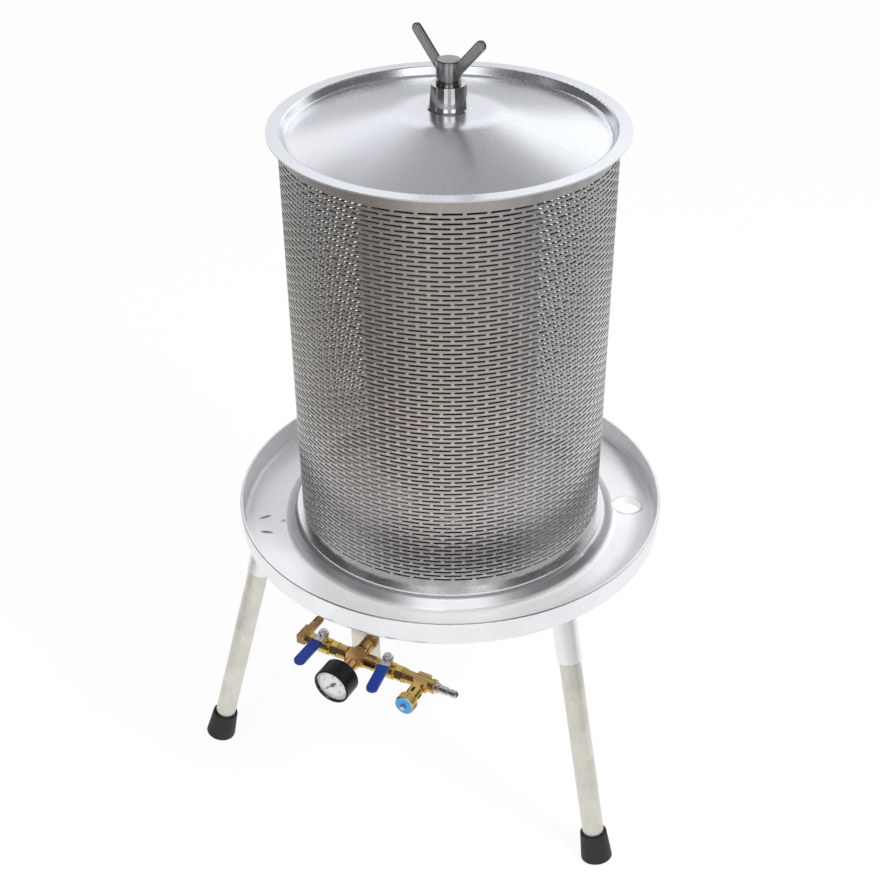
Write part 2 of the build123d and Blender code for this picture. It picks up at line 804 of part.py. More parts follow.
ball_valve("drain", drain_x, drain_lever_angle)
ball_valve("supply", supply_x, supply_lever_angle)

# Drain elbow: square body with a side socket for the valve and a rear socket for the tail
elbow_rear_y = manifold_y + elbow_rear
with BuildPart() as drain_elbow:
    with Locations((elbow_x, manifold_y + (elbow_rear - elbow_front) / 2, manifold_z)):
        Box(elbow_width, elbow_front + elbow_rear, elbow_width)
    fillet(drain_elbow.edges().filter_by(Axis.Z), radius=elbow_edge)
    rod_x(elbow_face_x - socket_depth - elbow_floor, elbow_face_x, elbow_arm_r)
    rod_x(elbow_face_x - socket_depth, elbow_face_x, socket_bore_r, mode=Mode.SUBTRACT)
    rod_y(elbow_x, elbow_rear_y - socket_depth, elbow_rear_y, tail_stub_r + joint_gap, mode=Mode.SUBTRACT)
    rod_x(elbow_x, elbow_face_x, elbow_inlet_r, mode=Mode.SUBTRACT)
    rod_y(elbow_x, manifold_y - elbow_inlet_r, elbow_rear_y, elbow_inlet_r, mode=Mode.SUBTRACT)
keep(drain_elbow, "drain_elbow")

# Drain tail: collar, thread and a hose end with barbs
thread_y = elbow_rear_y + tail_collar_l
hose_y = thread_y + tail_thread_l
hose_end_y = hose_y + tail_hose_l
barb_pitch = tail_hose_l / (tail_barbs + 1)
with BuildPart() as drain_tail:
    rod_y(elbow_x, elbow_rear_y - stub_length, thread_y, tail_stub_r)
    rod_y(elbow_x, elbow_rear_y, thread_y, tail_collar_r)
    rod_y(elbow_x, thread_y, hose_y, tail_thread_r)
    rod_y(elbow_x, hose_y, hose_end_y, tail_hose_r)
    for barb in range(1, tail_barbs + 1):
        barb_y = hose_end_y - barb * barb_pitch
        with Locations((elbow_x, barb_y + barb_pitch / 2, manifold_z)):
            Cone(tail_barb_r, tail_hose_r, barb_pitch, rotation=(-90, 0, 0))
    rod_y(elbow_x, elbow_rear_y - stub_length, hose_end_y, tail_bore_r, mode=Mode.SUBTRACT)
keep(drain_tail, "drain_tail")

# Tee: cube with an arm to the supply valve, a front socket and a short arm to the plug
tee_front_y = manifold_y - tee_block / 2
with BuildPart() as tee_fitting:
    with Locations((tee_x, manifold_y, manifold_z)):
        Box(tee_block, tee_block, tee_height)
    chamfer(tee_fitting.edges().filter_by(Axis.Z), tee_edge)
    rod_x(tee_face_x, tee_x, stub_r + neck_wall)
    rod_x(tee_face_x, tee_face_x + tee_collar, fitting_r)
    rod_x(tee_x, plug_x, tee_arm_r)
    rod_x(plug_x - tee_collar, plug_x, fitting_r)
    rod_x(tee_face_x, tee_face_x + socket_depth, socket_bore_r, mode=Mode.SUBTRACT)
    rod_x(plug_x - socket_depth, plug_x, socket_bore_r, mode=Mode.SUBTRACT)
    rod_y(tee_x, tee_front_y, tee_front_y + socket_depth, socket_bore_r, mode=Mode.SUBTRACT)
    rod_x(tee_face_x, plug_x, flow_r, mode=Mode.SUBTRACT)
    rod_y(tee_x, tee_front_y, manifold_y, flow_r, mode=Mode.SUBTRACT)
keep(tee_fitting, "tee_fitting")

# Inlet plug for a quick hose coupling
plug_body_x = plug_x + plug_collar_l
plug_groove_x = plug_body_x + plug_body_l
plug_head_x = plug_groove_x + plug_groove_l
plug_end_x = plug_head_x + plug_head_l
with BuildPart() as inlet_plug:
    rod_x(plug_x - stub_length, plug_x, stub_r)
    rod_x(plug_x, plug_body_x, plug_collar_r)
    rod_x(plug_body_x, plug_groove_x, plug_body_r)
    rod_x(plug_groove_x, plug_end_x, plug_groove_r)
    rod_x(plug_head_x, plug_end_x, plug_head_r)
    chamfer(inlet_plug.faces().sort_by(Axis.X)[-1].edges(), plug_nose)
    rod_x(plug_x - stub_length, plug_end_x, plug_bore_r, mode=Mode.SUBTRACT)
keep(inlet_plug, "inlet_plug")

# Relief valve body: hex, windowed barrel and the wall that guides the stem
relief_y = tee_front_y - relief_hex_l
relief_front_y = relief_y - relief_l
chamber_front_y = relief_front_y + relief_front
chamber_r = relief_r - relief_wall
with BuildPart() as relief_body:
    rod_y(tee_x, tee_front_y, tee_front_y + stub_length, stub_r)
    with BuildSketch(facing(tee_x, tee_front_y)):
        RegularPolygon(relief_hex_flats / 2, 6, major_radius=False)
    extrude(amount=relief_hex_l)
    rod_y(tee_x, relief_y, relief_front_y, relief_r)
    rod_y(tee_x, tee_front_y + stub_length, relief_y, flow_r, mode=Mode.SUBTRACT)
    rod_y(tee_x, relief_y, chamber_front_y, chamber_r, mode=Mode.SUBTRACT)
    rod_y(tee_x, chamber_front_y, relief_front_y, relief_stem_r + running_gap, mode=Mode.SUBTRACT)
    window_from = relief_y - relief_disc_t - window_margin
    window_to = chamber_front_y + window_margin
    with Locations((tee_x, (window_from + window_to) / 2, manifold_z)):
        Box(3 * relief_r, window_from - window_to, window_width, mode=Mode.SUBTRACT)
        Box(window_width, window_from - window_to, 3 * relief_r, mode=Mode.SUBTRACT)
keep(relief_body, "relief_body")

# Relief stem: valve disc on the seat, rod, collar behind the cap and the button in front of it
disc_front_y = relief_y - running_gap - relief_disc_t
cap_rear_y = relief_front_y - relief_cap_gap - relief_collar_t
cap_front_y = cap_rear_y - relief_cap_l
badge_front_y = cap_front_y - badge_t
button_y = cap_front_y - running_gap
with BuildPart() as relief_stem:
    rod_y(tee_x, relief_y - running_gap, disc_front_y, chamber_r - end_gap)
    rod_y(tee_x, disc_front_y, button_y, relief_stem_r)
    rod_y(tee_x, cap_rear_y, cap_rear_y + relief_collar_t, relief_collar_r)
    rod_y(tee_x, button_y, badge_front_y - button_l, button_r)
    chamfer(relief_stem.faces().sort_by(Axis.Y)[0].edges(), button_r / 5)
keep(relief_stem, "relief_stem")

# Relief cap and the badge on its front
with BuildPart() as relief_cap:
    rod_y(tee_x, cap_rear_y, cap_front_y, relief_cap_r)
    chamfer(relief_cap.edges().filter_by(GeomType.CIRCLE), relief_cap_edge)
    rod_y(tee_x, cap_rear_y, cap_front_y, relief_stem_r + running_gap, mode=Mode.SUBTRACT)
keep(relief_cap, "relief_cap")

with BuildPart() as relief_badge:
    rod_y(tee_x, cap_front_y, badge_front_y, badge_r)
    rod_y(tee_x, cap_front_y, badge_front_y, button_r + running_gap, mode=Mode.SUBTRACT)
keep(relief_badge, "relief_badge")

# Relief spring between the valve disc and the chamber's front wall
spring_mean_r = (relief_stem_r + chamber_r) / 2
spring_rear_y = disc_front_y - spring_wire_r - running_gap
spring_front_y = chamber_front_y + spring_wire_r + running_gap
spring_pitch = (spring_rear_y - spring_front_y) / spring_turns


def spring_point(turn):
    """Point and direction of the spring's wire after some turns."""
    angle = 2 * pi * turn
    place = Vector(
        tee_x + spring_mean_r * cos(angle),
        spring_rear_y - spring_pitch * turn,
        manifold_z + spring_mean_r * sin(angle),
    )
    along = Vector(
        -2 * pi * spring_mean_r * sin(angle), -spring_pitch, 2 * pi * spring_mean_r * cos(angle)
    )
    return place, along.normalized()


with BuildPart() as relief_spring:
    with BuildLine() as wire_path:
        for quarter in range(4 * spring_turns):
            start, start_way = spring_point(quarter / 4)
            end, end_way = spring_point((quarter + 1) / 4)
            span = end - start
            turn_share = 2 * (1 - start_way.dot(end_way))
            reach = span.dot(start_way + end_way)
            handle = (sqrt(reach**2 + turn_share * span.dot(span)) - reach) / turn_share
            middle = (start + end + (start_way - end_way) * handle) * 0.5
            TangentArc(start, middle, tangent=start_way)
            TangentArc(middle, end, tangent=-end_way, tangent_from_first=False)
    wire_start, wire_way = spring_point(0)
    with BuildSketch(Plane(origin=wire_start, z_dir=wire_way)):
        Circle(spring_wire_r)
    sweep(path=wire_path.line)
keep(relief_spring, "relief_spring")

# Gauge socket: stub in the cross, hex, and a spigot into the case
with BuildPart() as gauge_socket:
    cross_front_y = manifold_y - cross_reach
    spigot_y = gauge_back_y - bourdon_from
    rod_y(0, cross_front_y, cross_front_y + stub_length, stub_r)
    with BuildSketch(facing(0, cross_front_y)):
        RegularPolygon(gauge_hex_flats / 2, 6, major_radius=False)
    extrude(amount=gauge_hex_l)
    rod_y(0, gauge_back_y, spigot_y, gauge_spigot_r)
    rod_y(0, cross_front_y + stub_length, spigot_y, bourdon_tube_r, mode=Mode.SUBTRACT)
keep(gauge_socket, "gauge_socket")

# Gauge case: cup with a bezel lip over the lens
case_bore_r = gauge_r - gauge_wall
lip_y = gauge_back_y - gauge_depth + bezel_lip
dial_y = gauge_back_y - dial_depth
with BuildPart() as gauge_case:
    rod_y(0, gauge_back_y, gauge_back_y - gauge_depth, gauge_r)
    fillet(gauge_case.edges().filter_by(GeomType.CIRCLE), radius=bezel_round)
    rod_y(0, gauge_back_y - gauge_back_t, lip_y, case_bore_r, mode=Mode.SUBTRACT)
    rod_y(0, lip_y, gauge_back_y - gauge_depth, gauge_r - bezel_width, mode=Mode.SUBTRACT)
    rod_y(0, gauge_back_y, gauge_back_y - gauge_back_t, gauge_spigot_r + joint_gap, mode=Mode.SUBTRACT)
keep(gauge_case, "gauge_case")

with BuildPart() as gauge_dial:
    rod_y(0, dial_y, dial_y - dial_t, case_bore_r - joint_gap)
    rod_y(0, dial_y, dial_y - dial_t, pin_r + running_gap, mode=Mode.SUBTRACT)
keep(gauge_dial, "gauge_dial")

with BuildPart() as gauge_lens:
    rod_y(0, lip_y + lens_t, lip_y, case_bore_r - joint_gap)
keep(gauge_lens, "gauge_lens")

# Bourdon tube: block on the spigot, C-shaped tube, and the movement that carries the pointer's pin
block_y = gauge_back_y - bourdon_from
tube_y = block_y - bourdon_block / 3
pin_rear_y = block_y - bourdon_block / 2
with BuildPart() as bourdon_tube:
    with BuildSketch(Plane(origin=(0, tube_y, manifold_z), x_dir=(0, 1, 0), z_dir=(1, 0, 0))):
        with Locations((0, -bourdon_ring_r)):
            Circle(bourdon_tube_r)
    revolve(axis=Axis((0, 0, manifold_z), (0, 1, 0)), revolution_arc=bourdon_arc)
    with Locations((0, block_y - bourdon_block / 3, manifold_z)):
        Box(bourdon_block, 2 * bourdon_block / 3, bourdon_block)
    with Locations((0, tube_y, manifold_z - bourdon_ring_r / 2)):
        Box(bourdon_block / 2, bourdon_block / 2, bourdon_ring_r)
    rod_y(0, block_y, dial_y, movement_r)
    rod_y(0, pin_rear_y, dial_y, pin_r + running_gap, mode=Mode.SUBTRACT)
keep(bourdon_tube, "bourdon_tube")

# Pointer: pin through the dial, hub and a tapered hand that starts at the low end of the scale
pointer_y = dial_y - dial_t - pointer_gap
hand_plane = Plane(
    origin=(0, pointer_y, manifold_z),
    x_dir=(cos(radians(pointer_rest)), 0, sin(radians(pointer_rest))),
    z_dir=(0, -1, 0),
)
with BuildPart() as gauge_pointer:
    with BuildSketch(hand_plane):
        with BuildLine():
            Polyline(
                (-pointer_tail, -pointer_width),
                (pointer_reach, 0),
                (-pointer_tail, pointer_width),
                close=True,
            )
        make_face()
    extrude(amount=pointer_t)
    rod_y(0, pointer_y, pointer_y - pointer_hub_t, pointer_hub_r)
    rod_y(0, pin_rear_y - running_gap, pointer_y, pin_r)
keep(gauge_pointer, "gauge_pointer")

# Least room between neighbouring turns of the relief spring, measured on points of its wire
wire_points = [spring_point(step / 24)[0] for step in range(24 * spring_turns + 1)]
turn_room = min(
    (wire_points[a] - wire_points[b]).length
    for a in range(len(wire_points))
    for b in range(a + 12, len(wire_points))
)
print(f"relief spring: least room between turns {turn_room - 2 * spring_wire_r:.2f} mm")
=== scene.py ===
"""Finishes, modelled pieces and stage of a bladder juice press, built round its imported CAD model."""

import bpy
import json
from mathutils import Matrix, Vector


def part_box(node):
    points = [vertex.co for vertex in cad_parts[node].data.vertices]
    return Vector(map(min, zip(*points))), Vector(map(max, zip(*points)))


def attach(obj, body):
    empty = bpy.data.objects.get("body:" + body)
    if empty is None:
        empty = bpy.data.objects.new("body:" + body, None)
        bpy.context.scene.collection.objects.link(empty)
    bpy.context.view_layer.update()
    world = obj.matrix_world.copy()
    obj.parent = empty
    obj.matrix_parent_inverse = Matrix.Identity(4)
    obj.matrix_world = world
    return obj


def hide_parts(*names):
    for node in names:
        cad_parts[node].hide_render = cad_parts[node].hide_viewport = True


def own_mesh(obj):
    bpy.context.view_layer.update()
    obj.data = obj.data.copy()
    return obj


bl_info = {
    "name": "Juice press",
    "version": (1, 0, 0),
    "blender": (4, 5, 0),
    "location": "View3D > Sidebar > Juice press",
    "description": "Finishes, modelled pieces and stage of a bladder juice press",
    "category": "Object",
}

import json
from math import atan2, cos, hypot, pi, radians, sin, tau

import bmesh
import bpy
from bpy.props import FloatProperty, FloatVectorProperty, IntProperty, PointerProperty
from mathutils import Matrix, Vector

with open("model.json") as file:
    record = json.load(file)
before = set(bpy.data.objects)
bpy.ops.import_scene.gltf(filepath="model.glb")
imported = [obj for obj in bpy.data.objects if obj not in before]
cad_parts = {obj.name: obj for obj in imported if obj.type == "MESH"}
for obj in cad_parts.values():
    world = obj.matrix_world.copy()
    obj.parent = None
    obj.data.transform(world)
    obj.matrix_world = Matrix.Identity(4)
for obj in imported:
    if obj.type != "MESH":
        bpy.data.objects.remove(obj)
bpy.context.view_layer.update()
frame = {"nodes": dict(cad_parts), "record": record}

MM = 0.001
MERGE = 1e-6


def length(title, words, millimetres):
    """Property for a length, given in millimetres and kept in metres."""
    return FloatProperty(
        name=title, description=words, default=millimetres * MM, min=0.0, subtype="DISTANCE", unit="LENGTH"
    )


def count(title, words, number):
    """Property for a number of like things."""
    return IntProperty(name=title, description=words, default=number, min=1)


def angle(title, words, amount):
    """Property for an angle in radians."""
    return FloatProperty(name=title, description=words, default=amount, subtype="ANGLE")


def colour(title, words, red, green, blue):
    """Property for a linear colour."""
    return FloatVectorProperty(
        name=title, description=words, default=(red, green, blue), size=3, min=0.0, max=1.0, subtype="COLOR"
    )


class PressShapes(bpy.types.PropertyGroup):
    """Sizes of the modelled pieces."""

    slot_columns: count("Slot columns", "Slots in one row round the basket", 48)
    slot_row_pairs: count("Slot row pairs", "Pairs of staggered slot rows on the basket", 44)
    slot_length: length("Slot length", "Length of one basket slot", 23.8)
    slot_width: length("Slot width", "Height of one basket slot", 2.7)
    slot_corner: length("Slot corner", "How far a slot's corner is cut back", 0.7)
    slot_top_band: length("Top band", "Plain band over the highest slots", 17.2)
    slot_bottom_band: length("Bottom band", "Plain band under the lowest slots", 18.4)
    slot_shift: length("Slot shift", "How far the slots are set round the basket", 12.4)
    basket_sheet: length("Basket sheet", "Thickness of the basket's sheet", 1.5)
    bladder_fold: length("Bladder fold", "Depth of the slack bladder's folds", 3.0)
    bladder_folds: count("Bladder folds", "Folds round the slack bladder", 9)
    knurl_ridges: count("Knurl ridges", "Ridges round the relief valve's cap", 30)
    knurl_depth: length("Knurl depth", "Depth of the cap's knurl", 0.7)
    scale_marks: count("Scale marks", "Divisions of the gauge's scale", 40)
    scale_numbers: count("Scale numbers", "Numbered steps of the gauge's scale", 4)
    spindle_pitch: length("Spindle pitch", "Pitch of the spindle's thread", 2.5)
    tail_pitch: length("Tail pitch", "Pitch of the drain tail's thread", 1.8)
    weld_bead: length("Weld bead", "Height of the bead round a leg socket", 2.4)
    weld_ripples: count("Weld ripples", "Ripples round a leg socket's weld", 46)
    mark_way: angle("Mark way", "Way from the middle to the tray's marks", radians(-142.36))
    tack_splay: angle("Tack splay", "How far a tack mark is turned inwards", radians(19))
    tack_side: length("Tack side", "How far a tack mark lies to the side", 18.0)
    tack_reach: length("Tack reach", "How far from the middle the tack marks lie", 266.4)
    rivet_reach: length("Rivet reach", "How far from the middle the rivet lies", 241.2)


class PressColours(bpy.types.PropertyGroup):
    """Colours of the finishes, as light colours of the bare surface."""

    tray_steel: colour("Tray steel", "Drip tray and spout", 0.92, 0.92, 0.95)
    lid_steel: colour("Lid steel", "Lid pan", 0.94, 0.96, 1.0)
    basket_steel: colour("Basket steel", "Slotted basket", 0.60, 0.58, 0.56)
    tube_steel: colour("Tube steel", "Legs", 0.78, 0.76, 0.68)
    polished_steel: colour("Polished steel", "Hub, wing nut and spindle", 0.66, 0.66, 0.67)
    cast_brass: colour("Cast brass", "Cross, tee, elbow and nipples", 0.64, 0.41, 0.16)
    valve_brass: colour("Valve brass", "Valve bodies and relief valve", 0.74, 0.54, 0.15)
    grip_blue: colour("Grip blue", "Vinyl on the levers", 0.004, 0.026, 0.22)
    badge_blue: colour("Badge blue", "Disc on the relief valve's cap", 0.05, 0.33, 0.72)
    rubber: colour("Rubber", "Feet and gasket", 0.009, 0.010, 0.010)
    bladder: colour("Bladder", "Rubber of the bladder", 0.035, 0.016, 0.014)
    case_black: colour("Case black", "Gauge case", 0.004, 0.005, 0.005)
    dial_white: colour("Dial white", "Gauge dial", 0.93, 0.94, 0.97)
    floor: colour("Floor", "Floor round the press", 0.82, 0.82, 0.82)


class PressStage(bpy.types.PropertyGroup):
    """Camera and light."""

    lens: FloatProperty(name="Lens", description="Focal length of the camera", default=59.51, unit="CAMERA")
    heading: angle("Heading", "How far the camera stands round from the gauge", radians(29.09))
    pitch: angle("Pitch", "How far the camera looks down", radians(34.0))
    roll: angle("Roll", "How far the camera is turned on its axis", -0.00772)
    sky: FloatProperty(name="Sky", description="Soft light from all round", default=0.8, min=0.0)
    key: FloatProperty(name="Key lamp", description="Power of the lamp overhead", default=8.0, unit="POWER")
    fill: FloatProperty(name="Fill lamps", description="Power of the side lamps", default=12.0, unit="POWER")


def deselect():
    """Leaves object mode with nothing selected."""
    if bpy.context.object and bpy.context.object.mode != "OBJECT":
        bpy.ops.object.mode_set(mode="OBJECT")
    bpy.ops.object.select_all(action="DESELECT")


def pick(piece):
    """Selects one piece alone and makes it the active one."""
    deselect()
    piece.select_set(True)
    bpy.context.view_layer.objects.active = piece


def open_mesh(piece):
    """Opens one piece in edit mode with everything selected."""
    pick(piece)
    bpy.ops.object.mode_set(mode="EDIT")
    bpy.ops.mesh.select_mode(type="VERT")
    bpy.ops.mesh.select_all(action="SELECT")


def close_mesh():
    """Goes back to object mode."""
    bpy.ops.object.mode_set(mode="OBJECT")


def named(name):
    """Names the primitive that was just added and its mesh."""
    piece = bpy.context.object
    piece.name = name
    piece.data.name = name
    return piece


def select(kind, test):
    """Selects the edges or faces of the open mesh that pass a test, given their middle."""
    bpy.ops.mesh.select_mode(type=kind)
    bpy.ops.mesh.select_all(action="DESELECT")
    mesh = bmesh.from_edit_mesh(bpy.context.object.data)
    for item in mesh.edges if kind == "EDGE" else mesh.faces:
        middle = sum((corner.co for corner in item.verts), Vector()) / len(item.verts)
        if test(item, middle):
            item.select_set(True)
    bmesh.update_edit_mesh(bpy.context.object.data)


def clean_mesh():
    """Merges doubles of the open mesh and points its faces outwards."""
    bpy.ops.mesh.select_all(action="SELECT")
    bpy.ops.mesh.remove_doubles(threshold=MERGE)
    bpy.ops.mesh.normals_make_consistent(inside=False)


def modify(piece, kind, **values):
    """Adds a modifier to a piece and applies it."""
    pick(piece)
    modifier = piece.modifiers.new(kind.lower(), kind)
    for name, value in values.items():
        setattr(modifier, name, value)
    bpy.ops.object.modifier_apply(modifier=modifier.name)


def move_points(piece, rule):
    """Moves each vertex of a closed piece to where a rule puts it."""
    for corner in piece.data.vertices:
        corner.co = rule(corner.co)
    piece.data.update()


def sunk(point, depth):
    """A point moved towards the upright axis."""
    share = 1 - depth / hypot(point.x, point.y)
    return Vector((point.x * share, point.y * share, point.z))


def new_plane(name, size=1.0):
    """Square at the origin to model from."""
    deselect()
    bpy.ops.mesh.primitive_plane_add(size=size)
    return named(name)


def in_mm(points, start=0.0):
    """Profile points that are given in millimetres, out from a start radius."""
    return [(start + reach * MM, height * MM) for reach, height in points]


def flat_ring(near, far, low, high):
    """Section of a ring with square edges."""
    return [(near, low), (far, low), (far, high), (near, high), (near, low)]


def eased_ring(near, far, low, high, edge):
    """Section of a ring whose outer edges are cut back."""
    return [
        (near, low), (far - edge, low), (far, low + edge),
        (far, high - edge), (far - edge, high), (near, high), (near, low),
    ]


def lathe(name, profile, steps):
    """Turns a line of (radius, height) points round the upright axis."""
    piece = new_plane(name, MM)
    open_mesh(piece)
    bpy.ops.mesh.merge(type="CENTER")
    bpy.ops.transform.translate(value=(profile[0][0], 0, profile[0][1]))
    for (near, low), (far, high) in zip(profile, profile[1:]):
        bpy.ops.mesh.extrude_region_move(TRANSFORM_OT_translate={"value": (far - near, 0, high - low)})
    bpy.ops.mesh.select_all(action="SELECT")
    bpy.ops.mesh.spin(steps=steps, angle=tau, center=(0, 0, 0), axis=(0, 0, 1))
    clean_mesh()
    close_mesh()
    return piece


def thread(name, radius, depth, pitch, turns):
    """Helical ridge round the upright axis, from the origin up."""
    deselect()
    bpy.ops.mesh.primitive_circle_add(
        vertices=12, radius=depth, fill_type="NGON", location=(radius, 0, 0), rotation=(pi / 2, 0, 0)
    )
    ridge = named(name)
    bpy.ops.object.transform_apply()
    modify(
        ridge, "SCREW", angle=tau, screw_offset=pitch, iterations=turns, steps=36, render_steps=36, axis="Z",
        use_merge_vertices=False,
    )
    open_mesh(ridge)
    clean_mesh()
    close_mesh()
    return ridge


def face_front(piece, x, y, z):
    """Turns a piece made upright round the origin to face the gauge's way, at a place."""
    piece.data.transform(Matrix.Translation((x, y, z)) @ Matrix.Rotation(pi / 2, 4, "X"))


def join(pieces, name):
    """Joins pieces into the first of them."""
    deselect()
    for piece in pieces:
        piece.select_set(True)
    bpy.context.view_layer.objects.active = pieces[0]
    bpy.ops.object.join()
    return named(name)


def settle(piece, body, slot, finish=None, crease=35.0, stands_for=()):
    """Shades a piece up to its creases, gives it its finish and rides it on its body."""
    pick(piece)
    bpy.ops.object.transform_apply()
    bpy.ops.object.shade_smooth_by_angle(angle=radians(crease))
    piece.data.materials.clear()
    piece.data.materials.append(bpy.data.materials[finish or slot])
    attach(piece, body)
    if stands_for:
        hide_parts(*stands_for)


def middle_of(node):
    """Middle of a CAD node's box."""
    low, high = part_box(node)
    return (low + high) / 2


def new_group(name, inputs, outputs):
    """Shader node group with named inputs and outputs, and its two end nodes."""
    group = bpy.data.node_groups.new(name, "ShaderNodeTree")
    for way, sockets in (("INPUT", inputs), ("OUTPUT", outputs)):
        for title, kind in sockets.items():
            group.interface.new_socket(title, in_out=way, socket_type="NodeSocket" + kind)
    return group, group.nodes.new("NodeGroupInput"), group.nodes.new("NodeGroupOutput")


def place(tree, kind, links=(), **values):
    """Adds a shader node, sets its properties and plugs nodes or outputs into its inputs."""
    node = tree.nodes.new("ShaderNode" + kind)
    sockets = values.pop("sockets", {})
    for name, value in values.items():
        setattr(node, name, value)
    for name, value in sockets.items():
        node.inputs[name].default_value = value
    for source, name in links:
        output = source.outputs[0] if isinstance(source, bpy.types.Node) else source
        tree.links.new(output, node.inputs[name])
    return node


def empty_tree(holder):
    """Node tree of a material or a world, with no nodes in it."""
    holder.use_nodes = True
    holder.node_tree.nodes.clear()
    return holder.node_tree


def skin_group():
    """Grain and clouds of a metal or moulded skin: colour, roughness and height."""
    span = {"From Min": 0.3, "From Max": 0.7}
    group, start, end = new_group(
        "metal_skin",
        {
            "Grain": "Vector", "Place": "Vector", "Light": "Color", "Dark": "Color", "Cloud scale": "Float",
            "Cloud share": "Float", "Smooth": "Float", "Rough": "Float",
        },
        {"Color": "Color", "Roughness": "Float", "Height": "Float"},
    )
    grain = place(
        group, "TexNoise", [(start.outputs["Grain"], "Vector")],
        sockets={"Scale": 1.0, "Detail": 6.0, "Roughness": 0.65},
    )
    cloud = place(
        group, "TexNoise",
        [(start.outputs["Place"], "Vector"), (start.outputs["Cloud scale"], "Scale")],
        sockets={"Detail": 4.0, "Roughness": 0.6, "Distortion": 0.4},
    )
    both = place(
        group, "Mix",
        [(start.outputs["Cloud share"], 0), (grain.outputs["Fac"], 2), (cloud.outputs["Fac"], 3)],
    )
    spread = place(group, "MapRange", [(both, "Value")], sockets=span)
    tone = place(
        group, "Mix", [(spread, 0), (start.outputs["Dark"], 6), (start.outputs["Light"], 7)],
        data_type="RGBA",
    )
    gloss = place(
        group, "MapRange",
        [(both, "Value"), (start.outputs["Smooth"], "To Max"), (start.outputs["Rough"], "To Min")],
        sockets=span,
    )
    group.links.new(tone.outputs[2], end.inputs["Color"])
    group.links.new(gloss.outputs[0], end.inputs["Roughness"])
    group.links.new(grain.outputs["Fac"], end.inputs["Height"])


def wear_group():
    """Bright edges, partly bare metal from wear and partly a painted highlight: where a rounded edge would
    turn away from the face.
    """
    group, start, end = new_group("edge_wear_and_highlight", {"Radius": "Float", "Break up": "Float"}, {"Mask": "Float"})
    where = place(group, "TexCoord")
    rounded = place(group, "Bevel", [(start.outputs["Radius"], "Radius")], samples=4)
    flat = place(group, "NewGeometry")
    turn = place(group, "VectorMath", [(rounded, 0), (flat.outputs["Normal"], 1)], operation="DOT_PRODUCT")
    edge = place(
        group, "MapRange", [(turn.outputs["Value"], "Value")],
        sockets={"From Min": 0.99, "From Max": 0.86},
    )
    patches = place(
        group, "TexNoise",
        [(where.outputs["Object"], "Vector"), (start.outputs["Break up"], "Scale")],
        sockets={"Detail": 3.0},
    )
    worn_and_highlit = place(group, "Math", [(edge, 0), (patches.outputs["Fac"], 1)], operation="MULTIPLY")
    group.links.new(worn_and_highlit.outputs[0], end.inputs["Mask"])


def new_finish(name):
    """Material of that name made anew: its tree, its one shader and its object coordinates."""
    tree = empty_tree(bpy.data.materials.get(name) or bpy.data.materials.new(name))
    shader = place(tree, "BsdfPrincipled")
    place(tree, "OutputMaterial", [(shader, "Surface")])
    return tree, shader, place(tree, "TexCoord").outputs["Object"]


def shade(tone, share):
    """A colour made darker."""
    return tuple(part * share for part in tone)


def skin(name, tone, depth, smooth, rough, grain, cloud, share, bump):
    """New finish with the skin group and its bump: its tree, its shader and the group's node."""
    tree, shader, where = new_finish(name)
    stretch = place(tree, "Mapping", [(where, "Vector")], sockets={"Scale": grain})
    coat = place(
        tree, "Group", [(stretch, "Grain"), (where, "Place")],
        node_tree=bpy.data.node_groups["metal_skin"],
        sockets={
            "Light": (*tone, 1.0), "Dark": (*shade(tone, depth), 1.0), "Cloud scale": cloud,
            "Cloud share": share, "Smooth": smooth, "Rough": rough,
        },
    )
    tree.links.new(coat.outputs["Color"], shader.inputs["Base Color"])
    tree.links.new(coat.outputs["Roughness"], shader.inputs["Roughness"])
    if bump:
        relief = place(
            tree, "Bump", [(coat.outputs["Height"], "Height")],
            sockets={"Strength": 0.6, "Distance": bump},
        )
        tree.links.new(relief.outputs[0], shader.inputs["Normal"])
    return tree, shader, coat


def metal(
    name, tone, smooth, rough, grain, cloud=8.0, share=0.5, depth=0.82, bump=0.02 * MM, worn_and_highlit=None, bare=1.0
):
    """Metal finish with grain, clouds and, where asked, lighter edges of bare wear with a painted highlight.
    A satin one isn't wholly bare.
    """
    tree, shader, coat = skin(name, tone, depth, smooth, rough, grain, cloud, share, bump)
    shader.inputs["Metallic"].default_value = bare
    if worn_and_highlit:
        # Lighter colour at rounded edges: bare wear and a painted highlight.
        edges = place(
            tree, "Group", node_tree=bpy.data.node_groups["edge_wear_and_highlight"],
            sockets={"Radius": 0.6 * MM, "Break up": 300.0},
        )
        rubbed_and_highlit = place(
            tree, "Mix", [(edges, 0), (coat.outputs["Color"], 6)], data_type="RGBA",
            sockets={7: (*worn_and_highlit, 1.0)},
        )
        tree.links.new(rubbed_and_highlit.outputs[2], shader.inputs["Base Color"])


def satin_ring(name, near, far, fade):
    """Keeps a satin metal finish to a ring round the upright axis and makes the rest wholly bare."""
    tree = bpy.data.materials[name].node_tree
    shader = next(node for node in tree.nodes if node.type == "BSDF_PRINCIPLED")
    where = next(node for node in tree.nodes if node.type == "TEX_COORD")
    flat = place(
        tree, "VectorMath", [(where.outputs["Object"], 0)], operation="MULTIPLY",
        sockets={1: (1.0, 1.0, 0.0)},
    )
    away = place(tree, "VectorMath", [(flat, 0)], operation="LENGTH")
    satin = shader.inputs["Metallic"].default_value
    sides = [
        place(
            tree, "MapRange", [(away.outputs["Value"], "Value")],
            sockets={"From Min": start, "From Max": end, "To Min": 1.0, "To Max": satin},
        )
        for start, end in ((near, near + fade), (far, far - fade / 10))
    ]
    share = place(tree, "Math", [(sides[0], 0), (sides[1], 1)], operation="MAXIMUM")
    tree.links.new(share.outputs[0], shader.inputs["Metallic"])


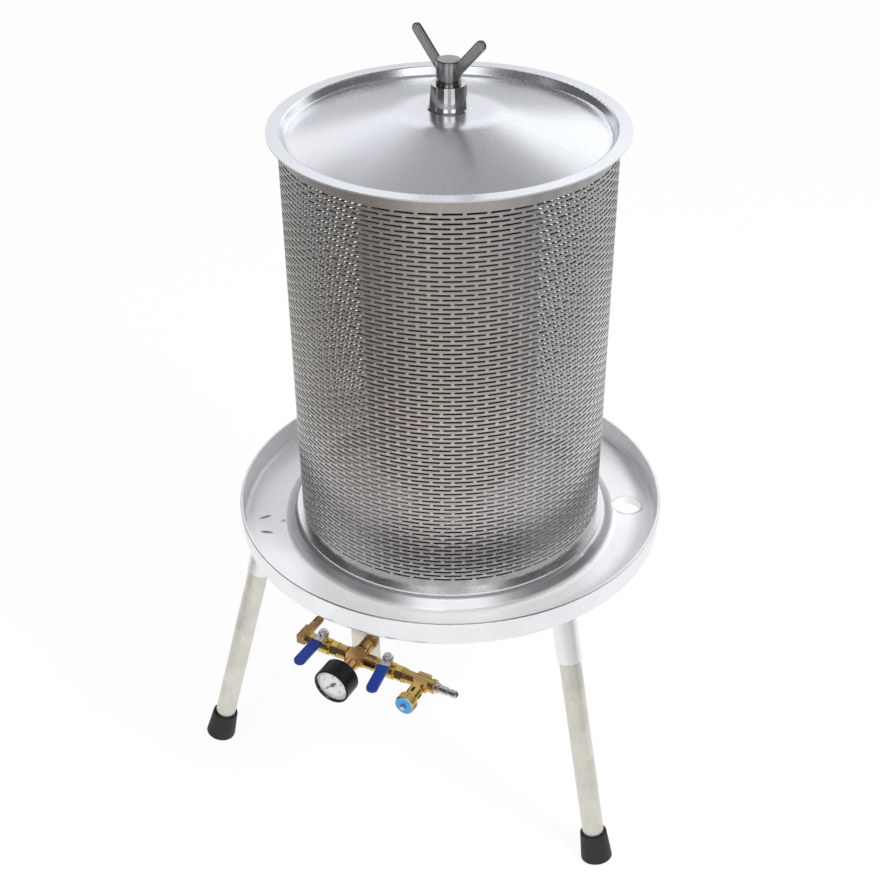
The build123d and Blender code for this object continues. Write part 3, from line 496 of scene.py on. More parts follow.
def moulded(name, tone, smooth, rough, depth=0.8, grain=900.0, bump=0.04 * MM, shine=0.5, sheen=0.0):
    """Rubber, vinyl, paint or plastic finish with a fine skin."""
    cloud, share = 40.0, 0.6
    shader = skin(name, tone, depth, smooth, rough, (grain,) * 3, cloud, share, bump)[1]
    shader.inputs["Specular IOR Level"].default_value = shine
    shader.inputs["Sheen Weight"].default_value = sheen


def clear_glass(name):
    """Lens finish."""
    tree, shader, where = new_finish(name)
    shader.inputs["Base Color"].default_value = (1.0, 1.0, 1.0, 1.0)
    shader.inputs["Transmission Weight"].default_value = 1.0
    shader.inputs["IOR"].default_value = 1.45
    smear = place(tree, "TexNoise", [(where, "Vector")], sockets={"Scale": 120.0, "Detail": 3.0})
    gloss = place(
        tree, "MapRange", [(smear.outputs["Fac"], "Value")],
        sockets={"From Min": 0.35, "From Max": 0.75, "To Min": 0.01, "To Max": 0.06},
    )
    tree.links.new(gloss.outputs[0], shader.inputs["Roughness"])


class PRESS_OT_finishes(bpy.types.Operator):
    """Makes every finish and gives the CAD nodes theirs"""

    bl_idname = "press.finishes"
    bl_label = "Finishes"

    def execute(self, context):
        tones = context.scene.press_colours
        steel = tones.polished_steel
        skin_group()
        wear_group()
        fine, upright = (240.0, 240.0, 240.0), (700.0, 700.0, 12.0)
        bright, cast = 0.005 * MM, 0.03 * MM
        metal(
            "tray_steel", tones.tray_steel, 0.26, 0.38, fine, cloud=9.0, share=0.7, depth=0.9, bump=None,
            bare=0.42,
        )
        satin_ring("tray_steel", near=230 * MM, far=298.2 * MM, fade=7 * MM)
        metal("lid_steel", tones.lid_steel, 0.22, 0.30, fine, cloud=6.0, depth=0.96, bump=None)
        metal(
            "basket_steel", tones.basket_steel, 0.20, 0.38, fine, cloud=5.0, share=0.8, depth=0.8, bump=None
        )
        # Inner face of the basket wall: the basket's steel darkened, a painted shade for the dark inside.
        metal("basket_inside_painted_shade", shade(tones.basket_steel, 0.32), 0.5, 0.65, fine, cloud=9.0, depth=0.7)
        metal("leg_steel", tones.tube_steel, 0.26, 0.46, upright, cloud=22.0, depth=0.72)
        metal("socket_steel", shade(tones.tray_steel, 0.98), 0.24, 0.36, upright, cloud=14.0, depth=0.9)
        metal("polished_steel", steel, 0.05, 0.12, fine, cloud=30.0, depth=0.9, bump=bright)
        # Wing nut: the polished steel darkened, a painted shade for the dark reflections on its faces.
        metal("wing_steel_painted_shade", shade(steel, 0.54), 0.1, 0.2, fine, cloud=40.0, bump=bright)
        metal("plain_steel", shade(steel, 0.9), 0.25, 0.4, fine)
        metal("feed_steel", shade(steel, 0.95), 0.25, 0.42, upright)
        metal("zinc_steel", shade(steel, 0.92), 0.14, 0.3, fine, cloud=60.0, depth=0.75)
        metal("valve_chrome", shade(steel, 0.95), 0.06, 0.16, fine, cloud=60.0, depth=0.85)
        metal("dark_washer", shade(steel, 0.6), 0.15, 0.25, fine)
        # Each row ends with the edge colour: bare brass from wear, lightened as a painted highlight.
        for name, tone, smooth, rough, grain, cloud, depth, worn_and_highlit in (
            ("fitting_brass", tones.cast_brass, 0.16, 0.32, 500.0, 70.0, 0.75, (0.86, 0.60, 0.28)),
            # Drain brass: the cast brass darkened, a painted shade for the elbow and tail that face away
            # from the light.
            ("drain_brass_painted_shade", shade(tones.cast_brass, 0.55), 0.2, 0.36, 500.0, 70.0, 0.75, (0.56, 0.38, 0.16)),
            ("valve_brass", tones.valve_brass, 0.14, 0.28, 420.0, 80.0, 0.7, (0.90, 0.76, 0.36)),
        ):
            metal(name, tone, smooth, rough, (grain,) * 3, cloud, depth=depth, bump=cast, worn_and_highlit=worn_and_highlit)
        moulded("foot_rubber", tones.rubber, 0.5, 0.7, depth=0.6)
        moulded("bladder_rubber", tones.bladder, 0.42, 0.65, depth=0.6, bump=0.08 * MM, sheen=0.6)
        moulded("seat_plastic", (0.82, 0.82, 0.8), 0.35, 0.5)
        moulded("blue_grip", tones.grip_blue, 0.28, 0.4, depth=0.75, grain=500.0, shine=0.3)
        moulded("badge_blue", tones.badge_blue, 0.3, 0.4, depth=0.9)
        moulded("gauge_black", tones.case_black, 0.22, 0.34, depth=0.7, shine=0.2)
        moulded("dial_white", tones.dial_white, 0.4, 0.55, depth=0.95)
        moulded("dial_ink", (0.02, 0.02, 0.022), 0.4, 0.6)
        metal("weld_tarnish", (0.58, 0.54, 0.53), 0.35, 0.5, fine, cloud=120.0, depth=0.7)
        moulded("sealant", (0.06, 0.016, 0.010), 0.35, 0.5, depth=0.6)
        clear_glass("gauge_glass")
        for part in frame["record"]["subparts"]:
            mesh = frame["nodes"][part["node"]].data
            mesh.materials.clear()
            mesh.materials.append(bpy.data.materials[part["material_slot"]])
        finishes = {
            "gauge_pointer": "dial_ink",
            # The wing nut takes the darker copy of the polished steel, painted shade.
            "wing_nut": "wing_steel_painted_shade",
            "basket_base_ring": "lid_steel",
            # Drain elbow and tail take the darker brass, painted shade.
            "drain_elbow": "drain_brass_painted_shade",
            "drain_tail": "drain_brass_painted_shade",
        }
        for node, finish in finishes.items():
            frame["nodes"][node].data.materials[0] = bpy.data.materials[finish]
        frame["nodes"]["gauge_lens"].visible_shadow = False
        return {"FINISHED"}


class PRESS_OT_basket(bpy.types.Operator):
    """Models the slotted basket wall"""

    bl_idname = "press.basket"
    bl_label = "Slotted basket"

    def execute(self, context):
        shapes = context.scene.press_shapes
        low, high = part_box("basket_wall")
        radius = high.x
        pitch = tau * radius / shapes.slot_columns
        first = low.z + shapes.slot_bottom_band
        last = high.z - shapes.slot_top_band
        row = (last - first) / (2 * shapes.slot_row_pairs)
        seam = 10 * MERGE
        deselect()
        bpy.ops.mesh.primitive_plane_add(size=1.0, rotation=(pi / 2, 0, 0))
        piece = named("basket_slotted_wall")
        bpy.ops.object.transform_apply()
        open_mesh(piece)
        bpy.ops.transform.resize(value=(shapes.slot_length, 1.0, shapes.slot_width))
        bpy.ops.mesh.bevel(offset=shapes.slot_corner, segments=1, affect="VERTICES")
        bpy.ops.mesh.select_all(action="SELECT")
        bpy.ops.mesh.delete(type="ONLY_FACE")
        bpy.ops.mesh.select_mode(type="EDGE")
        bpy.ops.mesh.select_all(action="SELECT")
        bpy.ops.mesh.extrude_edges_move(TRANSFORM_OT_translate={"value": (0, 0, 0)})
        cell = bmesh.from_edit_mesh(piece.data)
        end = shapes.slot_length / 2 - shapes.slot_corner / 2
        for corner in cell.verts:
            if corner.select:
                side = pitch / 2 if abs(corner.co.x) > end else 0.0
                corner.co.x = side if corner.co.x > 0 else -side
                corner.co.z = row / 2 if corner.co.z > 0 else -row / 2
        bmesh.update_edit_mesh(piece.data)
        bpy.ops.mesh.select_all(action="SELECT")
        bpy.ops.mesh.remove_doubles(threshold=MERGE)
        close_mesh()
        for number, step in (
            (2, (pitch / 2, 0, row)),
            (shapes.slot_row_pairs, (0, 0, 2 * row)),
            (shapes.slot_columns, (pitch, 0, 0)),
        ):
            modify(
                piece, "ARRAY", count=number, use_relative_offset=False, use_constant_offset=True,
                constant_offset_displace=step, use_merge_vertices=True, merge_threshold=seam,
            )

        def wrap(point):
            turn = (point.x + shapes.slot_shift) / radius
            return Vector((radius * sin(turn), -radius * cos(turn), first + row / 2 + point.z))

        move_points(piece, wrap)
        open_mesh(piece)
        bpy.ops.mesh.remove_doubles(threshold=seam)
        for edge_z, rise in ((last, shapes.slot_top_band), (first, -shapes.slot_bottom_band)):
            select("EDGE", lambda edge, middle: abs(middle.z - edge_z) < row / 8 and edge.is_boundary)
            bpy.ops.mesh.extrude_edges_move(TRANSFORM_OT_translate={"value": (0, 0, rise)})
        close_mesh()

        def faces_in(face):
            return face.normal.dot(Vector((*face.center.xy, 0))) < 0

        if faces_in(piece.data.polygons[0]):
            open_mesh(piece)
            bpy.ops.mesh.flip_normals()
            close_mesh()
        modify(piece, "SOLIDIFY", thickness=shapes.basket_sheet, offset=-1.0, use_even_offset=True)
        settle(piece, "basket", "basket_steel", stands_for=["basket_wall"])
        # Faces turned inwards take the darker copy of the steel, painted shade inside the basket.
        piece.data.materials.append(bpy.data.materials["basket_inside_painted_shade"])
        for face in piece.data.polygons:
            if faces_in(face) and abs(face.normal.z) < 0.5:
                face.material_index = 1
        return {"FINISHED"}


class PRESS_OT_bladder(bpy.types.Operator):
    """Models the slack rubber bladder round the core tube"""

    bl_idname = "press.bladder"
    bl_label = "Bladder"

    def execute(self, context):
        shapes = context.scene.press_shapes
        low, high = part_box("bladder")
        wide, middle = high.x, (low.z + high.z) / 2
        wall, neck, shoulder = 4 * MM, 22 * MM, 56 * MM
        low_neck, high_neck = 28.95 * MM, 20.95 * MM
        outer = [
            (low_neck, low.z),
            (low_neck, low.z + neck * 0.9),
            (wide * 0.62, low.z + neck + shoulder * 0.32),
            (wide * 0.96, low.z + neck + shoulder * 0.9),
            (wide, low.z + neck + shoulder * 1.6),
            (wide, middle),
            (wide, high.z - neck - shoulder * 1.6),
            (wide * 0.96, high.z - neck - shoulder * 0.9),
            (wide * 0.56, high.z - neck - shoulder * 0.3),
            (high_neck, high.z - neck * 0.9),
            (high_neck, high.z),
        ]
        inner = [(reach - wall, height) for reach, height in reversed(outer)]
        piece = lathe("bladder_sleeve", outer + inner + outer[:1], 72)
        open_mesh(piece)
        bpy.ops.mesh.subdivide(number_cuts=1)
        close_mesh()
        modify(piece, "SUBSURF", levels=1, render_levels=1)
        half = (high.z - low.z) / 2 - neck - shoulder
        lean, cross_lean, fade = 5.0, 9.0, 2.2

        def slack(point):
            turn, rise = atan2(point.y, point.x), point.z - middle
            swell = min(1.0, fade * max(0.0, 1.0 - abs(rise) / half))
            wave = 0.5 + 0.5 * cos(shapes.bladder_folds * turn + lean * rise)
            wave += 0.25 * cos(2 * shapes.bladder_folds * turn - cross_lean * rise)
            return sunk(point, shapes.bladder_fold * swell * max(0.0, wave))

        move_points(piece, slack)
        settle(piece, "stand", "bladder_rubber", crease=60.0, stands_for=["bladder"])
        return {"FINISHED"}


class PRESS_OT_relief(bpy.types.Operator):
    """Models the relief valve's knurled cap and its wound spring"""

    bl_idname = "press.relief"
    bl_label = "Relief valve"

    def execute(self, context):
        shapes = context.scene.press_shapes
        low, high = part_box("relief_cap")
        centre = middle_of("relief_cap")
        radius, long = (high.x - low.x) / 2, high.y - low.y
        edge, bore, skin_depth = 1.4 * MM, 2.05 * MM, 0.1 * MM
        profile = eased_ring(bore, radius, 0.0, long, edge)
        cap = lathe("relief_knurled_cap", profile, 4 * shapes.knurl_ridges)
        step = tau / shapes.knurl_ridges
        groove_start, groove_end = 0.3, 0.9

        def knurl(point):
            if hypot(point.x, point.y) < radius - skin_depth:
                return point
            share = (atan2(point.y, point.x) / step) % 1.0
            return sunk(point, shapes.knurl_depth if groove_start < share < groove_end else 0.0)

        move_points(cap, knurl)
        face_front(cap, centre.x, high.y, centre.z)
        settle(cap, "relief_cap", "valve_brass", crease=25.0, stands_for=["relief_cap"])

        low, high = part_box("relief_spring")
        centre = middle_of("relief_spring")
        wire, turns = 0.6 * MM, 4
        coil = (high.x - low.x) / 2 - wire
        rise = (high.y - low.y - 2 * wire) / turns
        spring = thread("relief_coil_spring", coil, wire, rise, turns)
        face_front(spring, centre.x, high.y - wire, centre.z)
        settle(spring, "stand", "plain_steel", crease=60.0, stands_for=["relief_spring"])
        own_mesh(spring)
        return {"FINISHED"}


class PRESS_OT_gauge(bpy.types.Operator):
    """Models the gauge's printed scale and its numbers"""

    bl_idname = "press.gauge"
    bl_label = "Gauge scale"

    def execute(self, context):
        shapes = context.scene.press_shapes
        front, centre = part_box("gauge_dial")[0].y, middle_of("gauge_dial")
        sweep, start = radians(270), radians(225)
        ink, figure_size, figure_reach = 0.08 * MM, 6.2 * MM, 13.6 * MM
        marks = []
        for reach, long, wide, steps in (
            (20.0, 2.6, 0.3, shapes.scale_marks),
            (19.2, 4.2, 0.55, 2 * shapes.scale_numbers),
        ):
            mark = new_plane("gauge_mark")
            open_mesh(mark)
            bpy.ops.transform.resize(value=(long * MM, wide * MM, 1.0))
            bpy.ops.transform.translate(value=(reach * MM, 0, 0))
            bpy.ops.mesh.extrude_region_move(TRANSFORM_OT_translate={"value": (0, 0, ink)})
            clean_mesh()
            bpy.ops.mesh.spin(steps=steps, angle=-sweep, center=(0, 0, 0), axis=(0, 0, 1), dupli=True)
            close_mesh()
            mark.data.transform(Matrix.Rotation(start, 4, "Z"))
            marks.append(mark)
        marks.append(lathe("gauge_arc", flat_ring(21.2 * MM, 21.5 * MM, 0, ink), 96))
        for number in range(shapes.scale_numbers + 1):
            turn = start - sweep * number / shapes.scale_numbers
            deselect()
            bpy.ops.object.text_add()
            figure = bpy.context.object
            figure.data.body = str(number)
            figure.data.size = figure_size
            figure.data.align_x = "CENTER"
            figure.data.align_y = "CENTER"
            figure.data.extrude = ink / 2
            bpy.ops.object.convert(target="MESH")
            figure = bpy.context.object
            spot = Vector((figure_reach * cos(turn), figure_reach * sin(turn), ink / 2))
            figure.data.transform(Matrix.Translation(spot))
            marks.append(figure)
        scale = join(marks, "gauge_scale")
        face_front(scale, centre.x, front, centre.z)
        settle(scale, "stand", "dial_white", finish="dial_ink")
        return {"FINISHED"}


class PRESS_OT_lever_nuts(bpy.types.Operator):
    """Models the plated nuts that hold the valve levers"""

    bl_idname = "press.lever_nuts"
    bl_label = "Lever nuts"

    def execute(self, context):
        land, recess, drop, edge = 0.9 * MM, 0.8 * MM, 0.3 * MM, 0.7 * MM
        for side in ("drain", "supply"):
            node = f"{side}_valve_nut"
            low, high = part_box(node)
            centre = middle_of(node)
            wide = max(high.y - low.y, high.x - low.x)
            deselect()
            bpy.ops.mesh.primitive_cylinder_add(
                vertices=6, radius=wide / 2, depth=high.z - low.z, end_fill_type="NGON",
                location=centre, rotation=(0, 0, pi / 6 if high.x - low.x < wide else 0),
            )
            nut = named(f"{side}_lever_nut")
            bpy.ops.object.transform_apply()
            open_mesh(nut)
            select("FACE", lambda face, middle: face.normal.z > 0.9)
            bpy.ops.mesh.inset(thickness=land)
            bpy.ops.mesh.inset(thickness=recess)
            bpy.ops.transform.translate(value=(0, 0, -drop))
            close_mesh()
            modify(nut, "BEVEL", width=edge, segments=3, limit_method="ANGLE", angle_limit=radians(25))
            settle(nut, f"{side}_lever", "valve_chrome", stands_for=[node])
        return {"FINISHED"}


class PRESS_OT_lid_fittings(bpy.types.Operator):
    """Models the grooved washer stack on the hub and the spindle's thread"""

    bl_idname = "press.lid_fittings"
    bl_label = "Lid fittings"

    def execute(self, context):
        shapes = context.scene.press_shapes
        low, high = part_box("lid_washer")
        wide, tall = high.x, high.z - low.z
        bore, groove, edge = 10.7 * MM, 2.2 * MM, 0.3 * MM
        profile = [(bore, 0.0)]
        for reach, base, top in ((wide - edge, 0.0, 0.34), (wide, 0.44, 0.7), (wide - 2 * edge, 0.8, 1.0)):
            profile += eased_ring(wide - groove, reach, tall * base, tall * top, edge)[:-1]
        profile += [(bore, tall), (bore, 0.0)]
        washer = lathe("lid_grooved_washer", profile, 72)
        washer.data.transform(Matrix.Translation((0, 0, low.z)))
        settle(washer, "nut_washer", "dark_washer", stands_for=["lid_washer"])

        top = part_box("spindle")[1].z
        core, depth, rise = 9.9 * MM, 0.25 * MM, 84 * MM
        turns = int(rise / shapes.spindle_pitch)
        ridge = thread("spindle_thread", core, depth, shapes.spindle_pitch, turns)
        ridge.data.transform(Matrix.Translation((0, 0, top - rise)))
        settle(ridge, "stand", "polished_steel", crease=60.0)
        return {"FINISHED"}


class PRESS_OT_manifold(bpy.types.Operator):
    """Models the sealant at the manifold's joints and the drain tail's thread"""

    bl_idname = "press.manifold"
    bl_label = "Manifold"

    def execute(self, context):
        shapes = context.scene.press_shapes
        cross = middle_of("cross_fitting")
        low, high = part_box("cross_fitting")
        sideways = Matrix.Rotation(pi / 2, 4, "Y")
        bore, half, edge = 8 * MM, 0.7 * MM, 0.35 * MM
        for name, along, reach in (
            ("drain_inner", low.x, 10.15 * MM),
            ("supply_inner", high.x, 10.15 * MM),
            ("drain_outer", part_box("drain_elbow")[1].x, 8.9 * MM),
            ("supply_outer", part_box("tee_fitting")[0].x, 10.15 * MM),
        ):
            ring = lathe(f"{name}_sealant", eased_ring(bore, reach, -half, half, edge), 48)
            ring.data.transform(Matrix.Translation((along, cross.y, cross.z)) @ sideways)
            settle(ring, "stand", "fitting_brass", finish="sealant")

        tail = middle_of("drain_tail")
        core, depth, back, rise = 5.7 * MM, 0.5 * MM, 11 * MM, 14 * MM
        thread_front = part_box("drain_elbow")[1].y + back
        turns = int(rise / shapes.tail_pitch)
        ridge = thread("drain_tail_thread", core, depth, shapes.tail_pitch, turns)
        face_front(ridge, tail.x, thread_front + turns * shapes.tail_pitch, tail.z)
        # The tail's thread takes the same darker brass, painted shade.
        settle(ridge, "stand", "fitting_brass", finish="drain_brass_painted_shade", crease=60.0)
        return {"FINISHED"}


class PRESS_OT_tray_marks(bpy.types.Operator):
    """Models the juice hole's lip, the rivet and the tack weld marks in the tray's channel"""

    bl_idname = "press.tray_marks"
    bl_label = "Tray marks"

    def execute(self, context):
        shapes = context.scene.press_shapes
        tray_sheet, spout_wall = 2 * MM, 1.5 * MM
        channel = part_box("drip_tray")[0].z + tray_sheet
        hole = middle_of("juice_spout")
        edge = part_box("juice_spout")[1].x - hole.x - spout_wall
        lip = [
            (0.0, -2.0), (0.0, 0.2), (0.4, 0.8), (1.1, 1.0), (1.9, 0.8), (2.9, 0.2), (3.5, 0.0), (3.5, -0.3),
            (0.7, -0.3), (0.7, -2.0), (0.0, -2.0),
        ]
        rim = lathe("juice_hole_lip", in_mm(lip, edge), 64)
        rim.data.transform(Matrix.Translation((hole.x, hole.y, channel)))
        slope_edge, slope_bend = 240.6 * MM, 22 * MM

        def climb(point):
            """Lifts a point with the foot of the plinth's slope."""
            inside = max(0.0, slope_edge - hypot(point.x, point.y))
            return point + Vector((0, 0, inside * inside / slope_bend))

        move_points(rim, climb)
        settle(rim, "stand", "tray_steel", crease=50.0)

        rivet_way = shapes.mark_way - radians(1.2)
        dome = [(0.0, 0.3), (1.4, 0.3), (1.8, 1.0), (3.2, 1.1), (4.4, 0.6), (5.0, 0.0), (0.0, 0.0)]
        rivet = lathe("tray_rivet", in_mm(dome), 40)
        self.put(rivet, shapes.rivet_reach, rivet_way, channel)
        move_points(rivet, climb)
        settle(rivet, "stand", "tray_steel", crease=50.0)
        # Dark disc at the bottom of the rivet's hollow: painted shade in the recess.
        eye = lathe("tray_rivet_eye_painted_shade", in_mm([(0.0, 0.4), (1.4, 0.4), (1.4, 0.3), (0.0, 0.3)]), 24)
        self.put(eye, shapes.rivet_reach, rivet_way, channel)
        settle(eye, "stand", "tray_steel", finish="dial_ink")

        crater = [(0.0, 0.12), (1.7, 0.12), (2.1, 0.4), (2.6, 0.4), (3.0, 0.0), (0.0, 0.0)]
        for side in (1, -1):
            mark = lathe("tack_mark", in_mm(crater), 48)
            mark.data.transform(
                Matrix.Translation((0, side * shapes.tack_side, 0))
                @ Matrix.Rotation(-side * shapes.tack_splay, 4, "Z")
                @ Matrix.Diagonal((3.1, 0.9, 1.0, 1.0))
            )
            self.put(mark, shapes.tack_reach, shapes.mark_way, channel)
            settle(mark, "stand", "tray_steel", finish="weld_tarnish", crease=50.0)
        return {"FINISHED"}

    def put(self, mark, reach, way, height):
        """Lays a mark out from the middle of the tray."""
        mark.data.transform(Matrix.Rotation(way, 4, "Z") @ Matrix.Translation((reach, 0, height)))


class PRESS_OT_welds(bpy.types.Operator):
    """Models the weld beads round the leg sockets"""

    bl_idname = "press.welds"
    bl_label = "Welds"

    def execute(self, context):
        shapes = context.scene.press_shapes
        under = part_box("drip_tray")[0].z
        tube, bead = 18 * MM, shapes.weld_bead
        inner, skin_depth = tube - 0.5 * MM, 0.01 * MM
        slant, bulge, droop = 900, 0.22 * bead, 0.08
        profile = [
            (inner, 0.0), (inner, -bead * 1.2), (tube + bead * 0.3, -bead),
            (tube + bead * 0.75, -bead * 0.7), (tube + bead, -bead * 0.3), (tube + bead * 1.1, 0.0),
            (inner, 0.0),
        ]

        def ripple(point):
            reach = hypot(point.x, point.y)
            if reach < tube or point.z > -skin_depth:
                return point
            wave = cos(shapes.weld_ripples * atan2(point.y, point.x) + slant * point.z)
            grow = 1 + bulge * wave / reach
            return Vector((point.x * grow, point.y * grow, point.z * (1 + droop * wave)))

        for side in ("left", "right", "rear"):
            foot, socket = middle_of(f"leg_foot_{side}"), middle_of(f"leg_socket_{side}")
            way = atan2(foot.y, foot.x)
            lean = (socket - foot).normalized()
            top = socket + lean * (under - socket.z) / lean.z
            weld = lathe(f"leg_weld_{side}", profile, 4 * shapes.weld_ripples)
            move_points(weld, ripple)
            weld.data.transform(
                Matrix.Translation((top.x, top.y, under))
                @ Matrix.Rotation(way, 4, "Z")
                @ Matrix.Diagonal((1 / lean.z, 1.0, 1.0, 1.0))
            )
            settle(weld, "stand", "socket_steel", crease=60.0)
        return {"FINISHED"}


class PRESS_OT_stage(bpy.types.Operator):
    """Makes the floor, the lamps, the sky and the camera"""

    bl_idname = "press.stage"
    bl_label = "Stage"

    def execute(self, context):
        stage = context.scene.press_stage
        tones = context.scene.press_colours
        context.scene.view_settings.view_transform = "Standard"
        self.sky(context, stage)
        self.floor(tones)
        self.lamps(stage)
        self.cards(stage)
        self.camera(context, stage)
        return {"FINISHED"}

    def seen(self, tree):
        """Value of 1 for rays that show the background, 0 for rays that light the press."""
        path = place(tree, "LightPath")
        shown = path.outputs["Is Camera Ray"]
        for ray in ("Is Glossy Ray", "Is Transmission Ray"):
            shown = place(tree, "Math", [(shown, 0), (path.outputs[ray], 1)], operation="MAXIMUM")
        return shown

    def sky(self, context, stage):
        world = bpy.data.worlds.new("studio_sky")
        context.scene.world = world
        tree = empty_tree(world)
        level = place(
            tree, "MapRange", [(self.seen(tree), "Value")], sockets={"To Min": stage.sky, "To Max": 1.0}
        )
        light = place(tree, "Background", [(level, "Strength")], sockets={"Color": (1.0, 1.0, 1.0, 1.0)})
        place(tree, "OutputWorld", [(light, "Surface")])

    def floor(self, tones):
        floor = new_plane("floor")
        floor_side, white_share = 24.0, 0.93
        floor.data.transform(Matrix.Scale(floor_side, 4))
        material = bpy.data.materials.new("pale_floor")
        tree = empty_tree(material)
        matte = place(tree, "BsdfDiffuse", sockets={"Color": (*tones.floor, 1.0)})
        white = place(tree, "Emission")
        amount = place(
            tree, "Math", [(self.seen(tree), 0)], operation="MULTIPLY", sockets={1: white_share}
        )
        blend = place(tree, "MixShader", [(amount, 0), (matte, 1), (white, 2)])
        place(tree, "OutputMaterial", [(blend, "Surface")])
        floor.data.materials.append(material)

    def lamps(self, stage):
        away, high = 2.6, 2.9
        left, right = (
            (away * sin(stage.heading + turn), -away * cos(stage.heading + turn), high)
            for turn in (radians(-27), radians(50))
        )
        for name, power, size, spot, target in (
            ("key_lamp", stage.key, 1.6, (-0.6, -0.6, 3.2), (0, 0, 0.8)),
            ("left_softbox", 0.7 * stage.fill, 0.9, left, (0, 0, 0.7)),
            ("right_softbox", 8.5 * stage.fill, 0.9, right, (0, 0, 0.7)),
        ):
            deselect()
            bpy.ops.object.light_add(type="AREA", location=spot)
            lamp = bpy.context.object
            lamp.name = name
            lamp.data.energy = power
            lamp.data.size = size
            lamp.visible_glossy = False
            aim = Vector(target) - Vector(spot)
            lamp.rotation_euler = aim.to_track_quat("-Z", "Y").to_euler()

    def cards(self, stage):
        """Cards that only reflections see: ceiling, windows and the dark and bright sides of a room."""
        around = Matrix.Rotation(stage.heading, 4, "Z")
        dark, window = (0.1, 0.1, 0.1), (2.2, 2.2, 2.2)
        wall_away = 3.2
        for name, tone, across, back, high, wide, deep in (
            ("ceiling_card", (0.3, 0.3, 0.3), 0.0, 0.0, 4.2, 7.6, 7.6),
            ("ceiling_left", dark, -2.55, 0.6, 4.1, 2.5, 6.4),
            ("ceiling_right", (0.12, 0.12, 0.12), 2.55, 0.6, 4.1, 2.5, 6.4),
            ("front_overhead", (1.7, 1.7, 1.68), 0.0, -2.4, 4.0, 3.2, 1.5),
        ):
            self.card(name, tone, around @ Matrix.Translation((across, back, high)), wide, deep)
        for name, tone, turn, wide, low, high in (
            ("left_window", window, -18, 1.13, 1.1, 3.0),
            ("right_window", window, 25, 1.13, 1.1, 3.0),
            ("camera_gap", (0.55, 0.55, 0.55), 3.5, 1.07, 0.0, 3.2),
            ("left_dark", dark, -52, 2.8, 0.0, 3.2),
            ("right_dark", dark, 57, 2.5, 0.0, 3.2),
            ("far_left_dark", dark, -112, 4.2, 0.0, 3.8),
            ("far_right_dark", dark, 97, 2.2, 0.0, 3.2),
            ("back_strip", (0.93, 0.94, 0.97), 186, 1.6, 2.36, 4.1),
            ("back_low", (0.5, 0.5, 0.52), 180, 2.2, 0.3, 2.1),
            ("back_right_window", (1.14, 1.15, 1.16), 149, 3.2, 0.6, 3.6),
        ):
            turned = around @ Matrix.Rotation(radians(turn), 4, "Z")
            spot = turned @ Matrix.Translation((0, -wall_away, (low + high) / 2))
            self.card(name, tone, spot @ Matrix.Rotation(pi / 2, 4, "X"), wide, high - low)
        self.ground(stage)

    def glow(self, name):
        """Material that gives off light, and its shader."""
        material = bpy.data.materials.new(name)
        tree = empty_tree(material)
        light = place(tree, "Emission")
        place(tree, "OutputMaterial", [(light, "Surface")])
        return material, light

    def card(self, name, tone, spot, wide, tall):
        card = new_plane(name)
        card.data.transform(spot @ Matrix.Diagonal((wide, tall, 1.0, 1.0)))
        material, light = self.glow(name)
        light.inputs["Color"].default_value = (*tone, 1.0)
        card.data.materials.append(material)
        self.only_reflected(card)

    def ground(self, stage):
        """Ring on the floor whose tones, from one side round to the other, show in the basket."""
        ring = lathe("ground_card", flat_ring(1.02, 3.0, 4 * MM, 5 * MM), 96)
        material, light = self.glow("ground_card")
        tree = material.node_tree
        where = place(tree, "TexCoord")
        turn = place(
            tree, "Mapping", [(where.outputs["Object"], "Vector")],
            sockets={"Rotation": (0.0, 0.0, pi / 2 - stage.heading)},
        )
        sides = place(tree, "TexGradient", [(turn, "Vector")], gradient_type="RADIAL")
        reach = place(tree, "VectorMath", [(where.outputs["Object"], 0)], operation="LENGTH")
        fall = place(
            tree, "MapRange", [(reach.outputs["Value"], "Value")],
            sockets={"From Min": 1.3, "From Max": 1.9, "To Min": 1.0, "To Max": 0.7},
        )
        tree.links.new(fall.outputs[0], light.inputs["Strength"])
        tones = place(tree, "ValToRGB", [(sides.outputs["Fac"], 0)])
        stops = (
            (0.0, (1.0, 1.0, 1.0)),
            (0.13, (0.82, 0.82, 0.80)),
            (0.28, (0.38, 0.37, 0.35)),
            (0.36, (0.42, 0.37, 0.34)),
            (0.48, (0.80, 0.74, 0.69)),
            (0.6, (0.72, 0.70, 0.69)),
            (0.68, (0.66, 0.68, 0.71)),
            (0.84, (1.15, 1.15, 1.17)),
            (1.0, (1.0, 1.0, 1.0)),
        )
        ramp = tones.color_ramp
        while len(ramp.elements) < len(stops):
            ramp.elements.new(0.5)
        for stop, (spot, tone) in zip(ramp.elements, stops):
            stop.position = spot
            stop.color = (*tone, 1.0)
        tree.links.new(tones.outputs["Color"], light.inputs["Color"])
        ring.data.materials.append(material)
        self.only_reflected(ring)

    def only_reflected(self, card):
        """Leaves a card out of all but reflections."""
        for ray in ("camera", "diffuse", "transmission", "volume_scatter", "shadow"):
            setattr(card, f"visible_{ray}", False)

    def camera(self, context, stage):
        spot = (0.8136, -1.4909, 1.66425)
        deselect()
        bpy.ops.object.camera_add(location=spot)
        camera = bpy.context.object
        camera.name = "photo_camera"
        camera.data.lens = stage.lens
        turn = (
            Matrix.Rotation(stage.heading, 4, "Z")
            @ Matrix.Rotation(pi / 2 - stage.pitch, 4, "X")
            @ Matrix.Rotation(stage.roll, 4, "Z")
        )
        camera.rotation_euler = turn.to_euler()
        context.scene.camera = camera


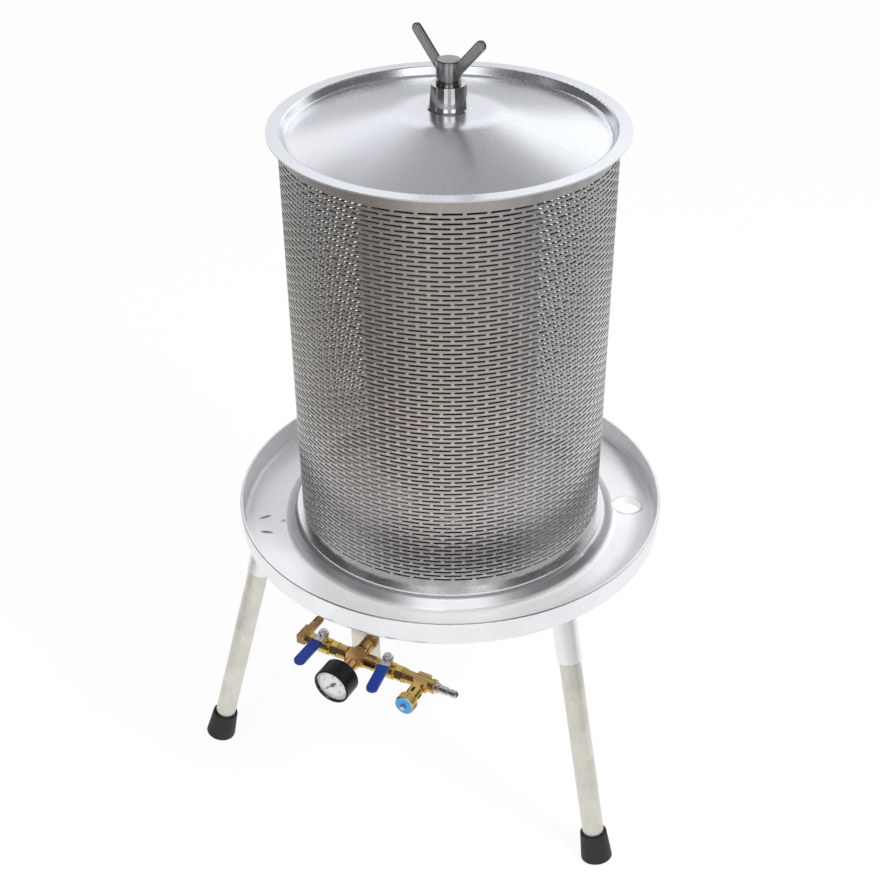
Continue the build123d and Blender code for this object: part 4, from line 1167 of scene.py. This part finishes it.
class PRESS_PT_sidebar(bpy.types.Panel):
    """Lists the press's sizes, colours and steps"""

    bl_idname = "PRESS_PT_sidebar"
    bl_label = "Juice press"
    bl_space_type = "VIEW_3D"
    bl_region_type = "UI"
    bl_category = "Juice press"

    def draw(self, context):
        for title in GROUPS:
            box, group = self.layout.box(), getattr(context.scene, title)
            for name in group.__annotations__:
                box.prop(group, name)
        for step in STEPS:
            self.layout.operator(step.bl_idname)


GROUPS = {"press_shapes": PressShapes, "press_colours": PressColours, "press_stage": PressStage}
STEPS = (
    PRESS_OT_finishes,
    PRESS_OT_basket,
    PRESS_OT_bladder,
    PRESS_OT_relief,
    PRESS_OT_gauge,
    PRESS_OT_lever_nuts,
    PRESS_OT_lid_fittings,
    PRESS_OT_manifold,
    PRESS_OT_tray_marks,
    PRESS_OT_welds,
    PRESS_OT_stage,
)
CLASSES = (*GROUPS.values(), *STEPS, PRESS_PT_sidebar)


def register():
    for kind in CLASSES:
        bpy.utils.register_class(kind)
    for title, group in GROUPS.items():
        setattr(bpy.types.Scene, title, PointerProperty(type=group))


def unregister():
    for title in GROUPS:
        delattr(bpy.types.Scene, title)
    for kind in reversed(CLASSES):
        bpy.utils.unregister_class(kind)


def main():
    register()
    for step in STEPS:
        getattr(bpy.ops.press, step.bl_idname.split(".")[1])()


if __name__ == "__main__":
    main()
